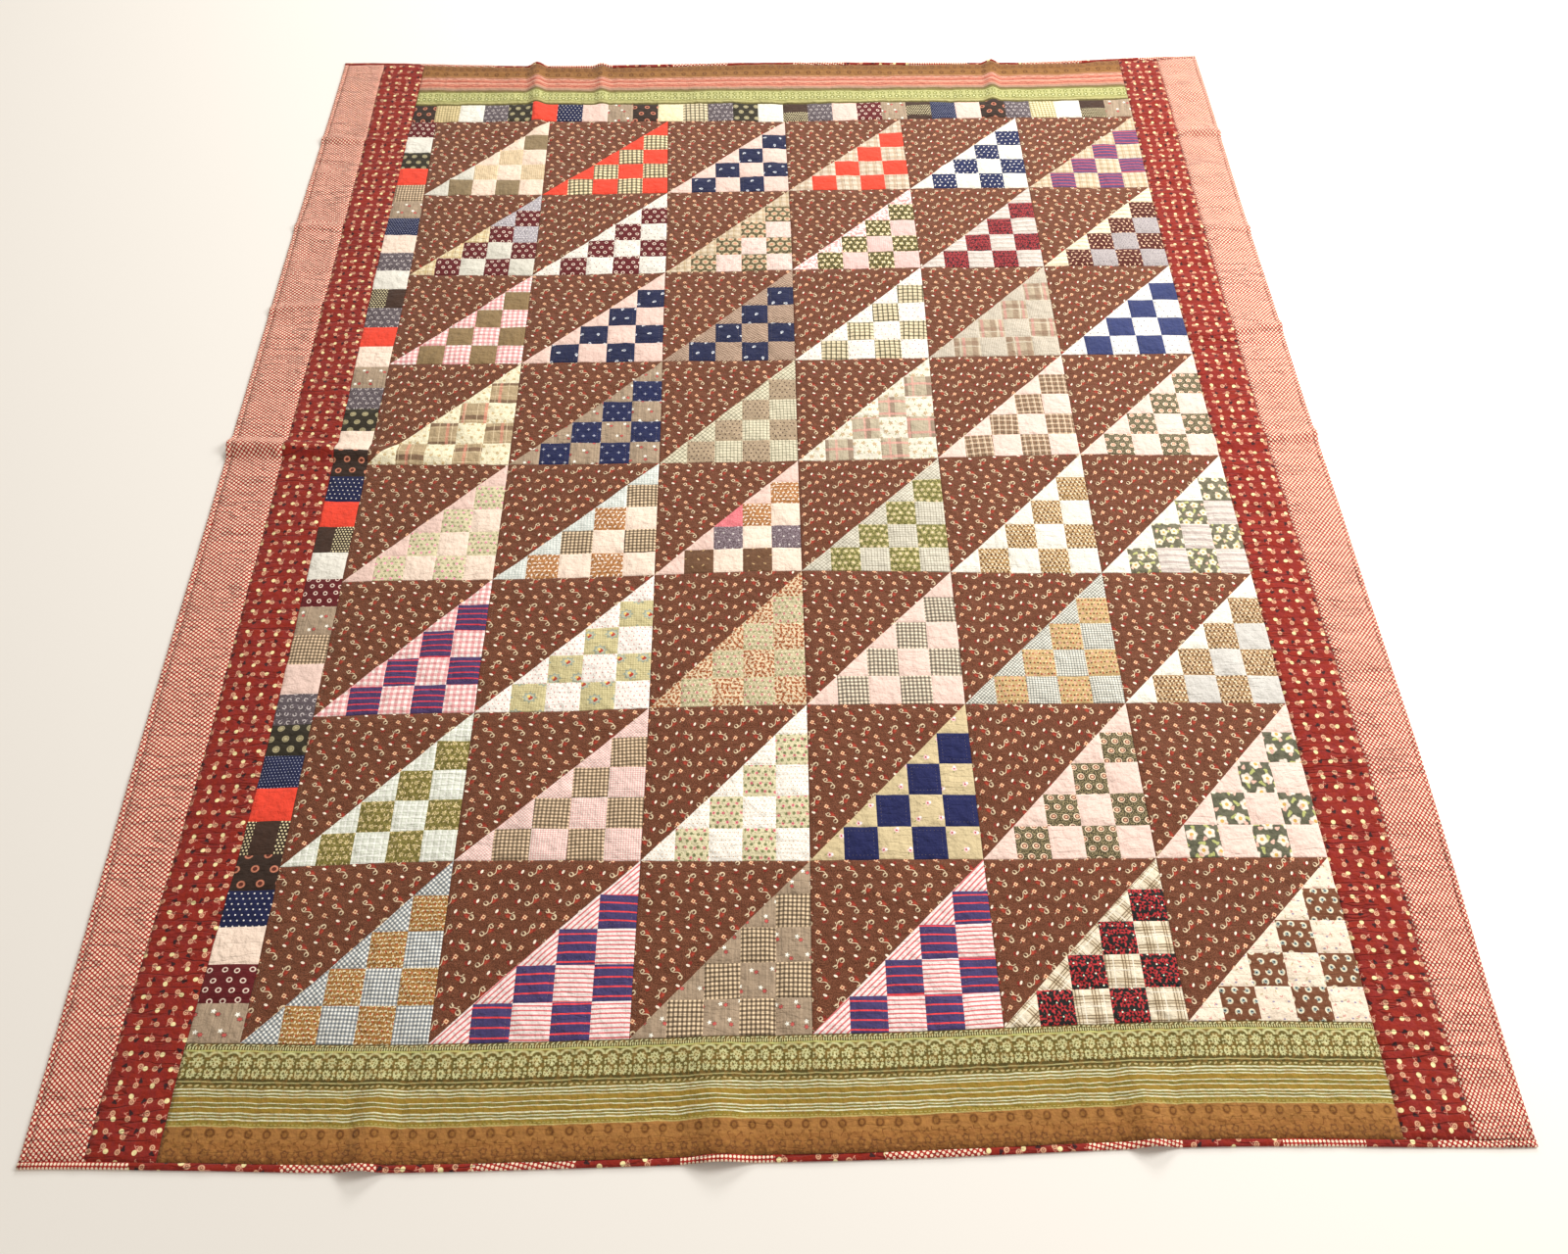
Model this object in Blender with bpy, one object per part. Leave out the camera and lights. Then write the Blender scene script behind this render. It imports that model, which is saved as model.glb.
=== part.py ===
"""A patchwork quilt spread out flat, as thin pads of cloth that meet along their seams.

Forty-eight pieced blocks make the field. A strip of little squares runs along its left side and its
top, striped borders close the top and the bottom, a red and a dotted border run down each side, and a
narrow binding goes round the outside. X is to the right across the quilt, Y towards its top edge.
"""

import bpy
from mathutils import Vector

MM = 0.001

# Sewn sizes
BLOCK = 228.6 * MM
COLUMNS, ROWS = 6, 8
PATCHES = 5  # patches along one side of a block
STRIP = 53.5 * MM  # the strip of little squares, across
RED_BORDER = 84 * MM
DOTTED_BORDER = 79 * MM
TOP_BORDER = 128 * MM
BOTTOM_BORDER = 134 * MM
BINDING = 8 * MM
SEAM_GAP = 0.3 * MM  # half of the open line between two sewn pieces

# Thickness of the padded cloth
LOFT = 5 * MM
SEAM_THICKNESS = 3.2 * MM

# The upright and level seam lines as sewn, with the field's middle at zero
FIELD_LEFT, FIELD_RIGHT = -COLUMNS / 2 * BLOCK, COLUMNS / 2 * BLOCK
FIELD_BOTTOM, FIELD_TOP = -ROWS / 2 * BLOCK, ROWS / 2 * BLOCK
STRIP_LEFT = FIELD_LEFT - STRIP
STRIP_TOP = FIELD_TOP + STRIP
RED_LEFT, RED_RIGHT = STRIP_LEFT - RED_BORDER, FIELD_RIGHT + RED_BORDER
DOTTED_LEFT, DOTTED_RIGHT = RED_LEFT - DOTTED_BORDER, RED_RIGHT + DOTTED_BORDER
BORDER_TOP, BORDER_BOTTOM = STRIP_TOP + TOP_BORDER, FIELD_BOTTOM - BOTTOM_BORDER
LEFT, RIGHT = DOTTED_LEFT - BINDING, DOTTED_RIGHT + BINDING
TOP, BOTTOM = BORDER_TOP + BINDING, BORDER_BOTTOM - BINDING

# The cloth doesn't lie quite square. How many millimetres each upright seam lies to the right of its
# sewn place, at five heights on the quilt
WANDER_HEIGHTS = (BOTTOM, -2 * BLOCK, 0.0, 2 * BLOCK, TOP)
UPRIGHT_SEAMS = (
    # sewn place, at the bottom edge, two blocks below the middle, middle, two above, at the top edge
    (LEFT, -3, -6, -4, -3, 2),
    (RED_LEFT, -16, 0, 0, 0, -3),
    (STRIP_LEFT, -17, 0, -1, -4, -4),
    (FIELD_LEFT, -4, 0, 0, 3, -12),
    (FIELD_LEFT + BLOCK, -7, -5, -3, -5, -13),
    (FIELD_LEFT + 2 * BLOCK, 5, 11, 9, 4, -8),
    (0.0, -3, 4, 3, 4, -3),
    (FIELD_RIGHT - 2 * BLOCK, 2, -1, 0, 7, -2),
    (FIELD_RIGHT - BLOCK, -1, -3, 1, 2, 3),
    (FIELD_RIGHT, -7, -5, -3, 0, 12),
    (RED_RIGHT, -7, -1, -3, -1, 9),
    (RIGHT, -25, -9, -6, -2, 6),
)
# How many millimetres each level seam lies above its sewn place, at five places across
WANDER_PLACES = (LEFT, -2 * BLOCK, 0.0, 2 * BLOCK, RIGHT)
LEVEL_SEAMS = (
    # sewn place, at the left edge, two blocks left of the middle, middle, two right, at the right edge
    (BOTTOM, 3, -8, -4, 4, -3),
    (FIELD_BOTTOM, 4, -5, -1, 7, -1),
    (-3 * BLOCK, -6, 4, -3, -7, -11),
    (-2 * BLOCK, -7, 0, 5, 1, -5),
    (-BLOCK, -1, 3, 12, 1, -6),
    (0.0, 10, 1, 4, 10, 3),
    (BLOCK, 3, 1, 2, 8, 8),
    (2 * BLOCK, -1, -5, 3, 7, 4),
    (3 * BLOCK, -6, -9, -2, 2, 0),
    (FIELD_TOP, -6, -8, -13, -6, -6),
    (STRIP_TOP, -4, -6, -8, -5, 0),
    (TOP, 8, -7, 0, -6, 13),
)

# Folds that stand up off the floor: where the crest starts and ends, as sewn, and its half width and
# height in millimetres, the height fading to nothing at the crest's end
FOLDS = (
    # start x, start y, end x, end y, half width, height
    (LEFT, 0.16 * BLOCK, FIELD_LEFT + 0.9 * BLOCK, 0.05 * BLOCK, 26, 13),
    (RIGHT, 3.75 * BLOCK, 2.9 * BLOCK, 3.8 * BLOCK, 16, 6),
    (RIGHT, 2.45 * BLOCK, 2.9 * BLOCK, 2.5 * BLOCK, 16, 5),
    (RIGHT, 1.3 * BLOCK, 3.0 * BLOCK, 1.2 * BLOCK, 18, 6),
    (RIGHT, 0.2 * BLOCK, 2.8 * BLOCK, 0.1 * BLOCK, 18, 7),
    (LEFT, 3.75 * BLOCK, -3.1 * BLOCK, 3.7 * BLOCK, 16, 5),
    (LEFT, 2.6 * BLOCK, -3.2 * BLOCK, 2.55 * BLOCK, 16, 4),
    (LEFT, 1.6 * BLOCK, -3.2 * BLOCK, 1.7 * BLOCK, 16, 4),
    (-2.17 * BLOCK, TOP, -2.1 * BLOCK, 3.7 * BLOCK, 22, 10),
    (-1.6 * BLOCK, TOP, -1.55 * BLOCK, 3.9 * BLOCK, 18, 6),
    (1.87 * BLOCK, TOP, 1.8 * BLOCK, 3.8 * BLOCK, 20, 9),
    (-0.5 * BLOCK, BOTTOM, -0.55 * BLOCK, -3.9 * BLOCK, 48, 12),
    (-2.35 * BLOCK, BOTTOM, -2.3 * BLOCK, -4.1 * BLOCK, 30, 7),
    (1.7 * BLOCK, BOTTOM, 1.65 * BLOCK, -4.1 * BLOCK, 34, 8),
)

# One colour a cloth, for the material of each piece
COLOURS = {
    "taupe": (0.36, 0.29, 0.23),
    "olive": (0.19, 0.17, 0.10),
    "green": (0.17, 0.20, 0.14),
    "sage": (0.40, 0.41, 0.30),
    "navy": (0.05, 0.06, 0.13),
    "red": (0.52, 0.09, 0.07),
    "maroon": (0.20, 0.05, 0.06),
    "rust": (0.42, 0.16, 0.07),
    "gold": (0.45, 0.30, 0.15),
    "brown": (0.17, 0.09, 0.06),
    "plum": (0.13, 0.07, 0.12),
    "dotted_red": (0.77, 0.30, 0.22),
    "lace_green": (0.42, 0.42, 0.22),
    "squares": (0.55, 0.45, 0.38),
}
# The dark cloth of each block, row by row from the top
BLOCK_CLOTHS = (
    "taupe green navy red navy plum",
    "maroon maroon olive olive red maroon",
    "taupe navy navy olive taupe navy",
    "taupe navy taupe taupe brown olive",
    "sage rust brown green gold green",
    "plum sage sage olive gold gold",
    "olive olive sage navy green green",
    "gold plum brown plum navy brown",
)


def between(places, values, place):
    """The value at a place, eased from each listed place to the next."""
    if place <= places[0]:
        return values[0]
    for k in range(1, len(places)):
        if place <= places[k]:
            part = (place - places[k - 1]) / (places[k] - places[k - 1])
            ease = part * part * (3 - 2 * part)
            return values[k - 1] + (values[k] - values[k - 1]) * ease
    return values[-1]


def seam_shift(seams, across, places, along):
    """How far a point moves across the seams, worked out from the two seams it lies between."""
    lines = [seam[0] for seam in seams]
    shifts = [between(places, seam[1:], along) * MM for seam in seams]
    for k in range(1, len(lines)):
        if across <= lines[k] or k == len(lines) - 1:
            part = (across - lines[k - 1]) / (lines[k] - lines[k - 1])
            return shifts[k - 1] + (shifts[k] - shifts[k - 1]) * part


def reach(seams):
    """The middle between the outermost points of the first and the last seam."""
    low = seams[0][0] + min(seams[0][1:]) * MM
    high = seams[-1][0] + max(seams[-1][1:]) * MM
    return (low + high) / 2


MIDDLE = Vector((reach(UPRIGHT_SEAMS), reach(LEVEL_SEAMS), 0))


def lie(x, y):
    """Where a sewn point lies on the floor, with the middle of the whole quilt at the origin."""
    return Vector((
        x + seam_shift(UPRIGHT_SEAMS, x, WANDER_HEIGHTS, y) - MIDDLE.x,
        y + seam_shift(LEVEL_SEAMS, y, WANDER_PLACES, x) - MIDDLE.y,
        0,
    ))


def lift(x, y):
    """How far the cloth at a sewn point is raised off the floor by the folds."""
    raised = 0.0
    for x0, y0, x1, y1, half_width, height in FOLDS:
        start, run = Vector((x0, y0)), Vector((x1 - x0, y1 - y0))
        part = (Vector((x, y)) - start).dot(run) / run.length_squared
        if part > 1:
            continue
        crest = start + run * max(part, 0)
        away = (Vector((x, y)) - crest).length / (half_width * MM)
        if away < 1:
            slope = 1 - away * away * (3 - 2 * away)
            raised = max(raised, height * MM * slope * (1 - max(part, 0) ** 2))
    return raised


def stations(low, high, step, marks=()):
    """Places from low to high about a step apart, moved onto any mark that lies between them."""
    count = max(1, round((high - low) / step))
    places = [low + (high - low) * k / count for k in range(count + 1)]
    for mark in marks:
        if low + step / 2 < mark < high - step / 2:
            nearest = min(range(1, count), key=lambda k: abs(places[k] - mark))
            places[nearest] = mark
    return sorted(places)


def cloth(name):
    material = bpy.data.materials.new(name)
    material.use_nodes = True
    surface = material.node_tree.nodes["Principled BSDF"]
    surface.inputs["Base Color"].default_value = (*COLOURS[name], 1)
    surface.inputs["Roughness"].default_value = 0.92
    surface.inputs["Metallic"].default_value = 0
    return material


def finish(name, points, faces, material, parent):
    """An object whose own origin is at the middle of its points, on the floor."""
    low = Vector([min(point[k] for point in points) for k in range(3)])
    high = Vector([max(point[k] for point in points) for k in range(3)])
    place = Vector(((low.x + high.x) / 2, (low.y + high.y) / 2, 0))
    mesh = bpy.data.meshes.new(name)
    mesh.from_pydata([point - place for point in points], [], faces)
    mesh.materials.append(material)
    piece = bpy.data.objects.new(name, mesh)
    piece.location = place
    piece.parent = parent
    bpy.context.scene.collection.objects.link(piece)
    return piece


def panel(name, xs, ys, material, parent):
    """A closed pad over a grid of sewn places: full loft inside, thinner along its rim."""
    wide, high = len(xs), len(ys)
    left, right = xs[0] + SEAM_GAP, xs[-1] - SEAM_GAP
    bottom, top = ys[0] + SEAM_GAP, ys[-1] - SEAM_GAP
    under, over = [], []
    for j, y in enumerate(ys):
        for i, x in enumerate(xs):
            inset_x, inset_y = min(max(x, left), right), min(max(y, bottom), top)
            on_rim = i in (0, wide - 1) or j in (0, high - 1)
            thickness = SEAM_THICKNESS if on_rim else LOFT
            foot = lie(inset_x, inset_y) + Vector((0, 0, lift(x, y)))
            under.append(foot)
            over.append(foot + Vector((0, 0, thickness)))
    count = wide * high
    faces = []
    for j in range(high - 1):
        for i in range(wide - 1):
            a = j * wide + i
            square = (a, a + 1, a + wide + 1, a + wide)
            faces.append(tuple(corner + count for corner in square))
            faces.append(square[::-1])
    rim = [i for i in range(wide)]
    rim += [j * wide + wide - 1 for j in range(1, high)]
    rim += [(high - 1) * wide + i for i in range(wide - 2, -1, -1)]
    rim += [j * wide for j in range(high - 2, 0, -1)]
    for a, b in zip(rim, rim[1:] + rim[:1]):
        faces.append((a, b, b + count, a + count))
    return finish(name, under + over, faces, material, parent)


# The binding's section: share of its width from the seam outwards, and share of its thickness
BINDING_SECTION = ((0, 0), (0.8, 0), (1, 0.45), (0.85, 0.85), (0.45, 1), (0, 0.9))
BINDING_THICKNESS = 4.6 * MM


def binding(name, ends, inner, outer, upright, marks, material, parent):
    """A folded strip along one edge, from its seam with the border out to the quilt's edge."""
    step = BLOCK / PATCHES
    places = stations(ends[0] + SEAM_GAP, ends[1] - SEAM_GAP, step, marks)
    seam = inner + (SEAM_GAP if outer > inner else -SEAM_GAP)
    points = []
    for along in places:
        for out, up in BINDING_SECTION:
            across = seam + (outer - seam) * out
            x, y = (across, along) if upright else (along, across)
            points.append(lie(x, y) + Vector((0, 0, lift(x, y) + up * BINDING_THICKNESS)))
    sides = len(BINDING_SECTION)
    faces = [tuple(range(sides)), tuple(range(len(points) - 1, len(points) - sides - 1, -1))]
    for k in range(len(places) - 1):
        for side in range(sides):
            a, b = k * sides + side, k * sides + (side + 1) % sides
            faces.append((a, a + sides, b + sides, b))
    if upright != (outer > inner):
        faces = [face[::-1] for face in faces]
    return finish(name, points, faces, material, parent)


def build():
    for old in list(bpy.data.objects):
        bpy.data.objects.remove(old)
    quilt = bpy.data.objects.new("quilt", None)
    bpy.context.scene.collection.objects.link(quilt)
    cloths = {name: cloth(name) for name in COLOURS}
    patch = BLOCK / PATCHES

    # The field: blocks numbered from the top left
    for row in range(ROWS):
        names = BLOCK_CLOTHS[row].split()
        for column in range(COLUMNS):
            left = FIELD_LEFT + column * BLOCK
            bottom = FIELD_TOP - (row + 1) * BLOCK
            panel(
                f"block_r{row + 1}_c{column + 1}",
                stations(left, left + BLOCK, patch),
                stations(bottom, bottom + BLOCK, patch),
                cloths[names[column]],
                quilt,
            )

    # Stations on the long pieces fall on the crests of the folds and where the seams were measured
    upright_marks = [fold[1] for fold in FOLDS if fold[0] in (LEFT, RIGHT)] + list(WANDER_HEIGHTS)
    level_marks = [fold[0] for fold in FOLDS if fold[1] in (TOP, BOTTOM)] + list(WANDER_PLACES)

    def upright_panel(name, left, right, bottom, top, across, material):
        ys = stations(bottom, top, patch, upright_marks)
        return panel(name, stations(left, right, across), ys, cloths[material], quilt)

    def level_panel(name, left, right, bottom, top, across, material):
        xs = stations(left, right, patch, level_marks)
        return panel(name, xs, stations(bottom, top, across), cloths[material], quilt)

    upright_panel("squares_left", STRIP_LEFT, FIELD_LEFT, FIELD_BOTTOM, FIELD_TOP, STRIP / 2, "squares")
    level_panel("squares_top", STRIP_LEFT, FIELD_RIGHT, FIELD_TOP, STRIP_TOP, STRIP / 2, "squares")
    level_panel("border_striped_top", STRIP_LEFT, FIELD_RIGHT, STRIP_TOP, BORDER_TOP, patch, "lace_green")
    level_panel(
        "border_striped_bottom", STRIP_LEFT, FIELD_RIGHT, BORDER_BOTTOM, FIELD_BOTTOM, patch, "lace_green"
    )
    sides = (("left", RED_LEFT, STRIP_LEFT, DOTTED_LEFT), ("right", FIELD_RIGHT, RED_RIGHT, RED_RIGHT))
    for side, red_from, red_to, dotted_from in sides:
        upright_panel(f"border_red_{side}", red_from, red_to, BORDER_BOTTOM, BORDER_TOP, patch, "red")
        upright_panel(
            f"border_dotted_{side}",
            dotted_from,
            dotted_from + DOTTED_BORDER,
            BORDER_BOTTOM,
            BORDER_TOP,
            patch,
            "dotted_red",
        )

    side_ends, whole_width = (BORDER_BOTTOM, BORDER_TOP), (LEFT - SEAM_GAP, RIGHT + SEAM_GAP)
    edges = (
        ("left", side_ends, DOTTED_LEFT, LEFT, True, upright_marks),
        ("right", side_ends, DOTTED_RIGHT, RIGHT, True, upright_marks),
        ("bottom", whole_width, BORDER_BOTTOM, BOTTOM, False, level_marks),
        ("top", whole_width, BORDER_TOP, TOP, False, level_marks),
    )
    for edge, ends, inner, outer, upright, marks in edges:
        binding(f"binding_{edge}", ends, inner, outer, upright, marks, cloths["dotted_red"], quilt)


build()
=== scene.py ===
# %% [markdown]
# # A patchwork quilt spread on the floor
#
# The real quilt is a top pieced from hundreds of scraps of printed cotton, lightly padded and
# quilted, and bound round its edge. Forty-eight blocks make the field. Each block is half one brown
# triangle and half a stair of little squares. The solids in the frame already hold its plan and its
# folds. This script dresses each of them with a finer pad, its printed cloths and its stitches.

import math

import bpy
import numpy as np
from mathutils import Matrix, Vector


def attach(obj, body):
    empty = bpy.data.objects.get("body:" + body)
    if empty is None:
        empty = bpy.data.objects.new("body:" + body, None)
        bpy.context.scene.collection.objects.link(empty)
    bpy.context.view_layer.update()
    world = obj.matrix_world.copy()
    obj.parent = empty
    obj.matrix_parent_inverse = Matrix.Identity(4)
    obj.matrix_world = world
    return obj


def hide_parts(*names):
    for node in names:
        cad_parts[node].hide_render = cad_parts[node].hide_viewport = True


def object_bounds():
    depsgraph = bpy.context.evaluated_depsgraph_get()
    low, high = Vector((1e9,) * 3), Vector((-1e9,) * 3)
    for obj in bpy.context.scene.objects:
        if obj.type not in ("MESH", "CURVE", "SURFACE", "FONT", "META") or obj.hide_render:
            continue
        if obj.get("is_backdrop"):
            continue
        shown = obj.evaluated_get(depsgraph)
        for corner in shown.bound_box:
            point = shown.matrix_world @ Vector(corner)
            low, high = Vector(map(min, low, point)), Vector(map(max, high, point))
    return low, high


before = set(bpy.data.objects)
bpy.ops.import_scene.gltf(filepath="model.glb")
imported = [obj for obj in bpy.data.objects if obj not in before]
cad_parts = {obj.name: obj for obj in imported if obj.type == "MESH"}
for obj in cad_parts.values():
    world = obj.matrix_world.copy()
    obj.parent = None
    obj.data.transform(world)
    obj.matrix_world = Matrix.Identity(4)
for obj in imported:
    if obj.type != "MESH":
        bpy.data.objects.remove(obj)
cad_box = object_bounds()
print("the solids reach from", [list(corner) for corner in cad_box])

# %% [markdown]
# ## The camera
#
# The photographer stood at the foot of the quilt and looked steeply down. Parallel seams run
# together towards the top, so their vanishing points give the lens and the turn of the camera, and
# the known width of the quilt gives its height. Three axes say it more exactly than angles would.

# %% Camera
CAMERA_PLACE = Vector((-0.0253, -1.4235, 1.5818))
CAMERA_RIGHT = Vector((0.99982, -0.0184, 0.00437))
CAMERA_UP = Vector((0.01273, 0.82562, 0.56408))
CAMERA_BACK = Vector((-0.01398, -0.56393, 0.82571))
LENS_MM, SENSOR_MM = 29.967, 36


def placed(name, data):
    """A new object that is part of the scene and sits at the origin."""
    made = bpy.data.objects.new(name, data)
    bpy.context.scene.collection.objects.link(made)
    return made


camera_data = bpy.data.cameras.new("camera")
camera_data.lens = LENS_MM
camera_data.sensor_width = SENSOR_MM
camera = placed("camera", camera_data)
axes = Matrix((CAMERA_RIGHT, CAMERA_UP, CAMERA_BACK)).transposed()
camera.matrix_world = Matrix.Translation(CAMERA_PLACE) @ axes.to_4x4()
bpy.context.scene.camera = camera
print("camera", round(CAMERA_PLACE.z, 2), "m above the floor")

# %% [markdown]
# ## The floor and the light
#
# The photograph is bright and soft: a white studio floor, a little cream on the left and pure white
# at the upper right. A large lamp to the right of the quilt's middle gives that slope of light. A
# second one, farther off beyond the top edge, gives each level pucker its shade, and an even sky
# fills the rest.

# %% Floor and light
FLOOR_HALF, FLOOR_COLOUR, FLOOR_ROUGHNESS = 6.0, "#efece7", 0.75
LAMPS = (
    # name, place in metres, width in metres, watts
    ("right lamp", (2.0, 0.3, 1.95), 1.3, 66),
    ("far lamp", (0.6, 3.4, 2.2), 1.3, 98),
)
LAMP_TINT = (1, 0.985, 0.96)
SKY_COLOUR, SKY_STRENGTH = "#fff6ea", 0.55


def dye(code):
    """A colour written as #rrggbb, as the shader wants it."""
    shares = [int(code[k : k + 2], 16) / 255 for k in (1, 3, 5)]
    light = [s / 12.92 if s < 0.04045 else ((s + 0.055) / 1.055) ** 2.4 for s in shares]
    return light + [1]


def plain_material(name, colour, roughness):
    """A material of one colour and one roughness."""
    material = bpy.data.materials.new(name)
    material.use_nodes = True
    surface = material.node_tree.nodes["Principled BSDF"]
    surface.inputs["Base Color"].default_value = dye(colour)
    surface.inputs["Roughness"].default_value = roughness
    return material


floor_mesh = bpy.data.meshes.new("floor")
corners = [(-FLOOR_HALF, -FLOOR_HALF, 0), (FLOOR_HALF, -FLOOR_HALF, 0)]
corners += [(FLOOR_HALF, FLOOR_HALF, 0), (-FLOOR_HALF, FLOOR_HALF, 0)]
floor_mesh.from_pydata(corners, [], [(0, 1, 2, 3)])
floor_mesh.materials.append(plain_material("pale floor", FLOOR_COLOUR, FLOOR_ROUGHNESS))
placed("floor", floor_mesh)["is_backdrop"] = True

for name, place, width, watts in LAMPS:
    lamp_data = bpy.data.lights.new(name, "AREA")
    lamp_data.size = width
    lamp_data.energy = watts
    lamp_data.color = LAMP_TINT
    aim = Vector(place).to_track_quat("Z", "Y").to_matrix().to_4x4()
    placed(name, lamp_data).matrix_world = Matrix.Translation(place) @ aim

sky = bpy.data.worlds.new("sky")
sky.use_nodes = True
background = sky.node_tree.nodes["Background"]
background.inputs["Color"].default_value = dye(SKY_COLOUR)
background.inputs["Strength"].default_value = SKY_STRENGTH
bpy.context.scene.world = sky
bpy.context.scene.view_settings.view_transform = "Standard"
print(len(LAMPS), "lamps and a sky of", SKY_STRENGTH)

# %% [markdown]
# ## The sewn sizes
#
# These are the cutting sizes of the quilt, the same as in the source of the solids: a block is nine
# inches, five patches to a side. Sewn places count from the middle of the field.

# %% Sewn sizes
MM = 0.001
BLOCK = 228.6 * MM
COLUMNS, ROWS, PATCHES = 6, 8, 5
PATCH = BLOCK / PATCHES
STRIP = 53.5 * MM
RED_BORDER, DOTTED_BORDER = 84 * MM, 79 * MM
TOP_BORDER, BOTTOM_BORDER = 128 * MM, 134 * MM
BINDING = 8 * MM
SEAM_GAP = 0.1 * MM
FIELD_LEFT, FIELD_RIGHT = -COLUMNS / 2 * BLOCK, COLUMNS / 2 * BLOCK
FIELD_BOTTOM, FIELD_TOP = -ROWS / 2 * BLOCK, ROWS / 2 * BLOCK
STRIP_LEFT, STRIP_TOP = FIELD_LEFT - STRIP, FIELD_TOP + STRIP
RED_LEFT, RED_RIGHT = STRIP_LEFT - RED_BORDER, FIELD_RIGHT + RED_BORDER
DOTTED_LEFT, DOTTED_RIGHT = RED_LEFT - DOTTED_BORDER, RED_RIGHT + DOTTED_BORDER
BORDER_TOP, BORDER_BOTTOM = STRIP_TOP + TOP_BORDER, FIELD_BOTTOM - BOTTOM_BORDER
LEFT, RIGHT = DOTTED_LEFT - BINDING, DOTTED_RIGHT + BINDING
TOP, BOTTOM = BORDER_TOP + BINDING, BORDER_BOTTOM - BINDING
print("sewn size", round(RIGHT - LEFT, 3), "by", round(TOP - BOTTOM, 3), "m")

# %% [markdown]
# ## How the seams wander
#
# No old quilt lies square. Each seam strays a few millimetres from its ruled line, so a sewn place is
# moved by what the two seams on either side of it stray. The tables are the solids' own, in
# millimetres, and numpy moves thousands of points at once.

# %% Wander of the seams
WANDER_HEIGHTS = (BOTTOM, -2 * BLOCK, 0.0, 2 * BLOCK, TOP)
UPRIGHT_SEAMS = (
    (LEFT, -3, -6, -4, -3, 2),
    (RED_LEFT, -16, 0, 0, 0, -3),
    (STRIP_LEFT, -17, 0, -1, -4, -4),
    (FIELD_LEFT, -4, 0, 0, 3, -12),
    (FIELD_LEFT + BLOCK, -7, -5, -3, -5, -13),
    (FIELD_LEFT + 2 * BLOCK, 5, 11, 9, 4, -8),
    (0.0, -3, 4, 3, 4, -3),
    (FIELD_RIGHT - 2 * BLOCK, 2, -1, 0, 7, -2),
    (FIELD_RIGHT - BLOCK, -1, -3, 1, 2, 3),
    (FIELD_RIGHT, -7, -5, -3, 0, 12),
    (RED_RIGHT, -7, -1, -3, -1, 9),
    (RIGHT, -25, -9, -6, -2, 6),
)
WANDER_PLACES = (LEFT, -2 * BLOCK, 0.0, 2 * BLOCK, RIGHT)
LEVEL_SEAMS = (
    (BOTTOM, 3, -8, -4, 4, -3),
    (FIELD_BOTTOM, 4, -5, -1, 7, -1),
    (-3 * BLOCK, -6, 4, -3, -7, -11),
    (-2 * BLOCK, -7, 0, 5, 1, -5),
    (-BLOCK, -1, 3, 12, 1, -6),
    (0.0, 10, 1, 4, 10, 3),
    (BLOCK, 3, 1, 2, 8, 8),
    (2 * BLOCK, -1, -5, 3, 7, 4),
    (3 * BLOCK, -6, -9, -2, 2, 0),
    (FIELD_TOP, -6, -8, -13, -6, -6),
    (STRIP_TOP, -4, -6, -8, -5, 0),
    (TOP, 8, -7, 0, -6, 13),
)


def eased(places, values, place):
    """The values at many places, eased from each listed place to the next."""
    places, values = np.array(places), np.array(values, float)
    place = np.clip(place, places[0], places[-1])
    k = np.clip(np.searchsorted(places, place) - 1, 0, len(places) - 2)
    part = (place - places[k]) / (places[k + 1] - places[k])
    return values[k] + (values[k + 1] - values[k]) * part * part * (3 - 2 * part)


def seam_shift(seams, across, places, along):
    """How far each point moves across the seams, from the two seams it lies between."""
    lines = np.array([seam[0] for seam in seams])
    shifts = np.array([eased(places, seam[1:], along) for seam in seams]) * MM
    k = np.clip(np.searchsorted(lines, across) - 1, 0, len(lines) - 2)
    part = (across - lines[k]) / (lines[k + 1] - lines[k])
    each = np.arange(len(across))
    return shifts[k, each] + (shifts[k + 1, each] - shifts[k, each]) * part


def reach(seams):
    """The middle between the outermost points of the first and the last seam."""
    low = seams[0][0] + min(seams[0][1:]) * MM
    high = seams[-1][0] + max(seams[-1][1:]) * MM
    return (low + high) / 2


MIDDLE = (reach(UPRIGHT_SEAMS), reach(LEVEL_SEAMS))


def lie(x, y):
    """Where sewn points lie on the floor, in the frame of the solids."""
    return (
        x + seam_shift(UPRIGHT_SEAMS, x, WANDER_HEIGHTS, y) - MIDDLE[0],
        y + seam_shift(LEVEL_SEAMS, y, WANDER_PLACES, x) - MIDDLE[1],
    )


left_edge = lie(np.array([LEFT]), np.array([0.0]))[0][0]
print("the left edge lies at", round(float(left_edge), 4), "m half way up")
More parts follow.
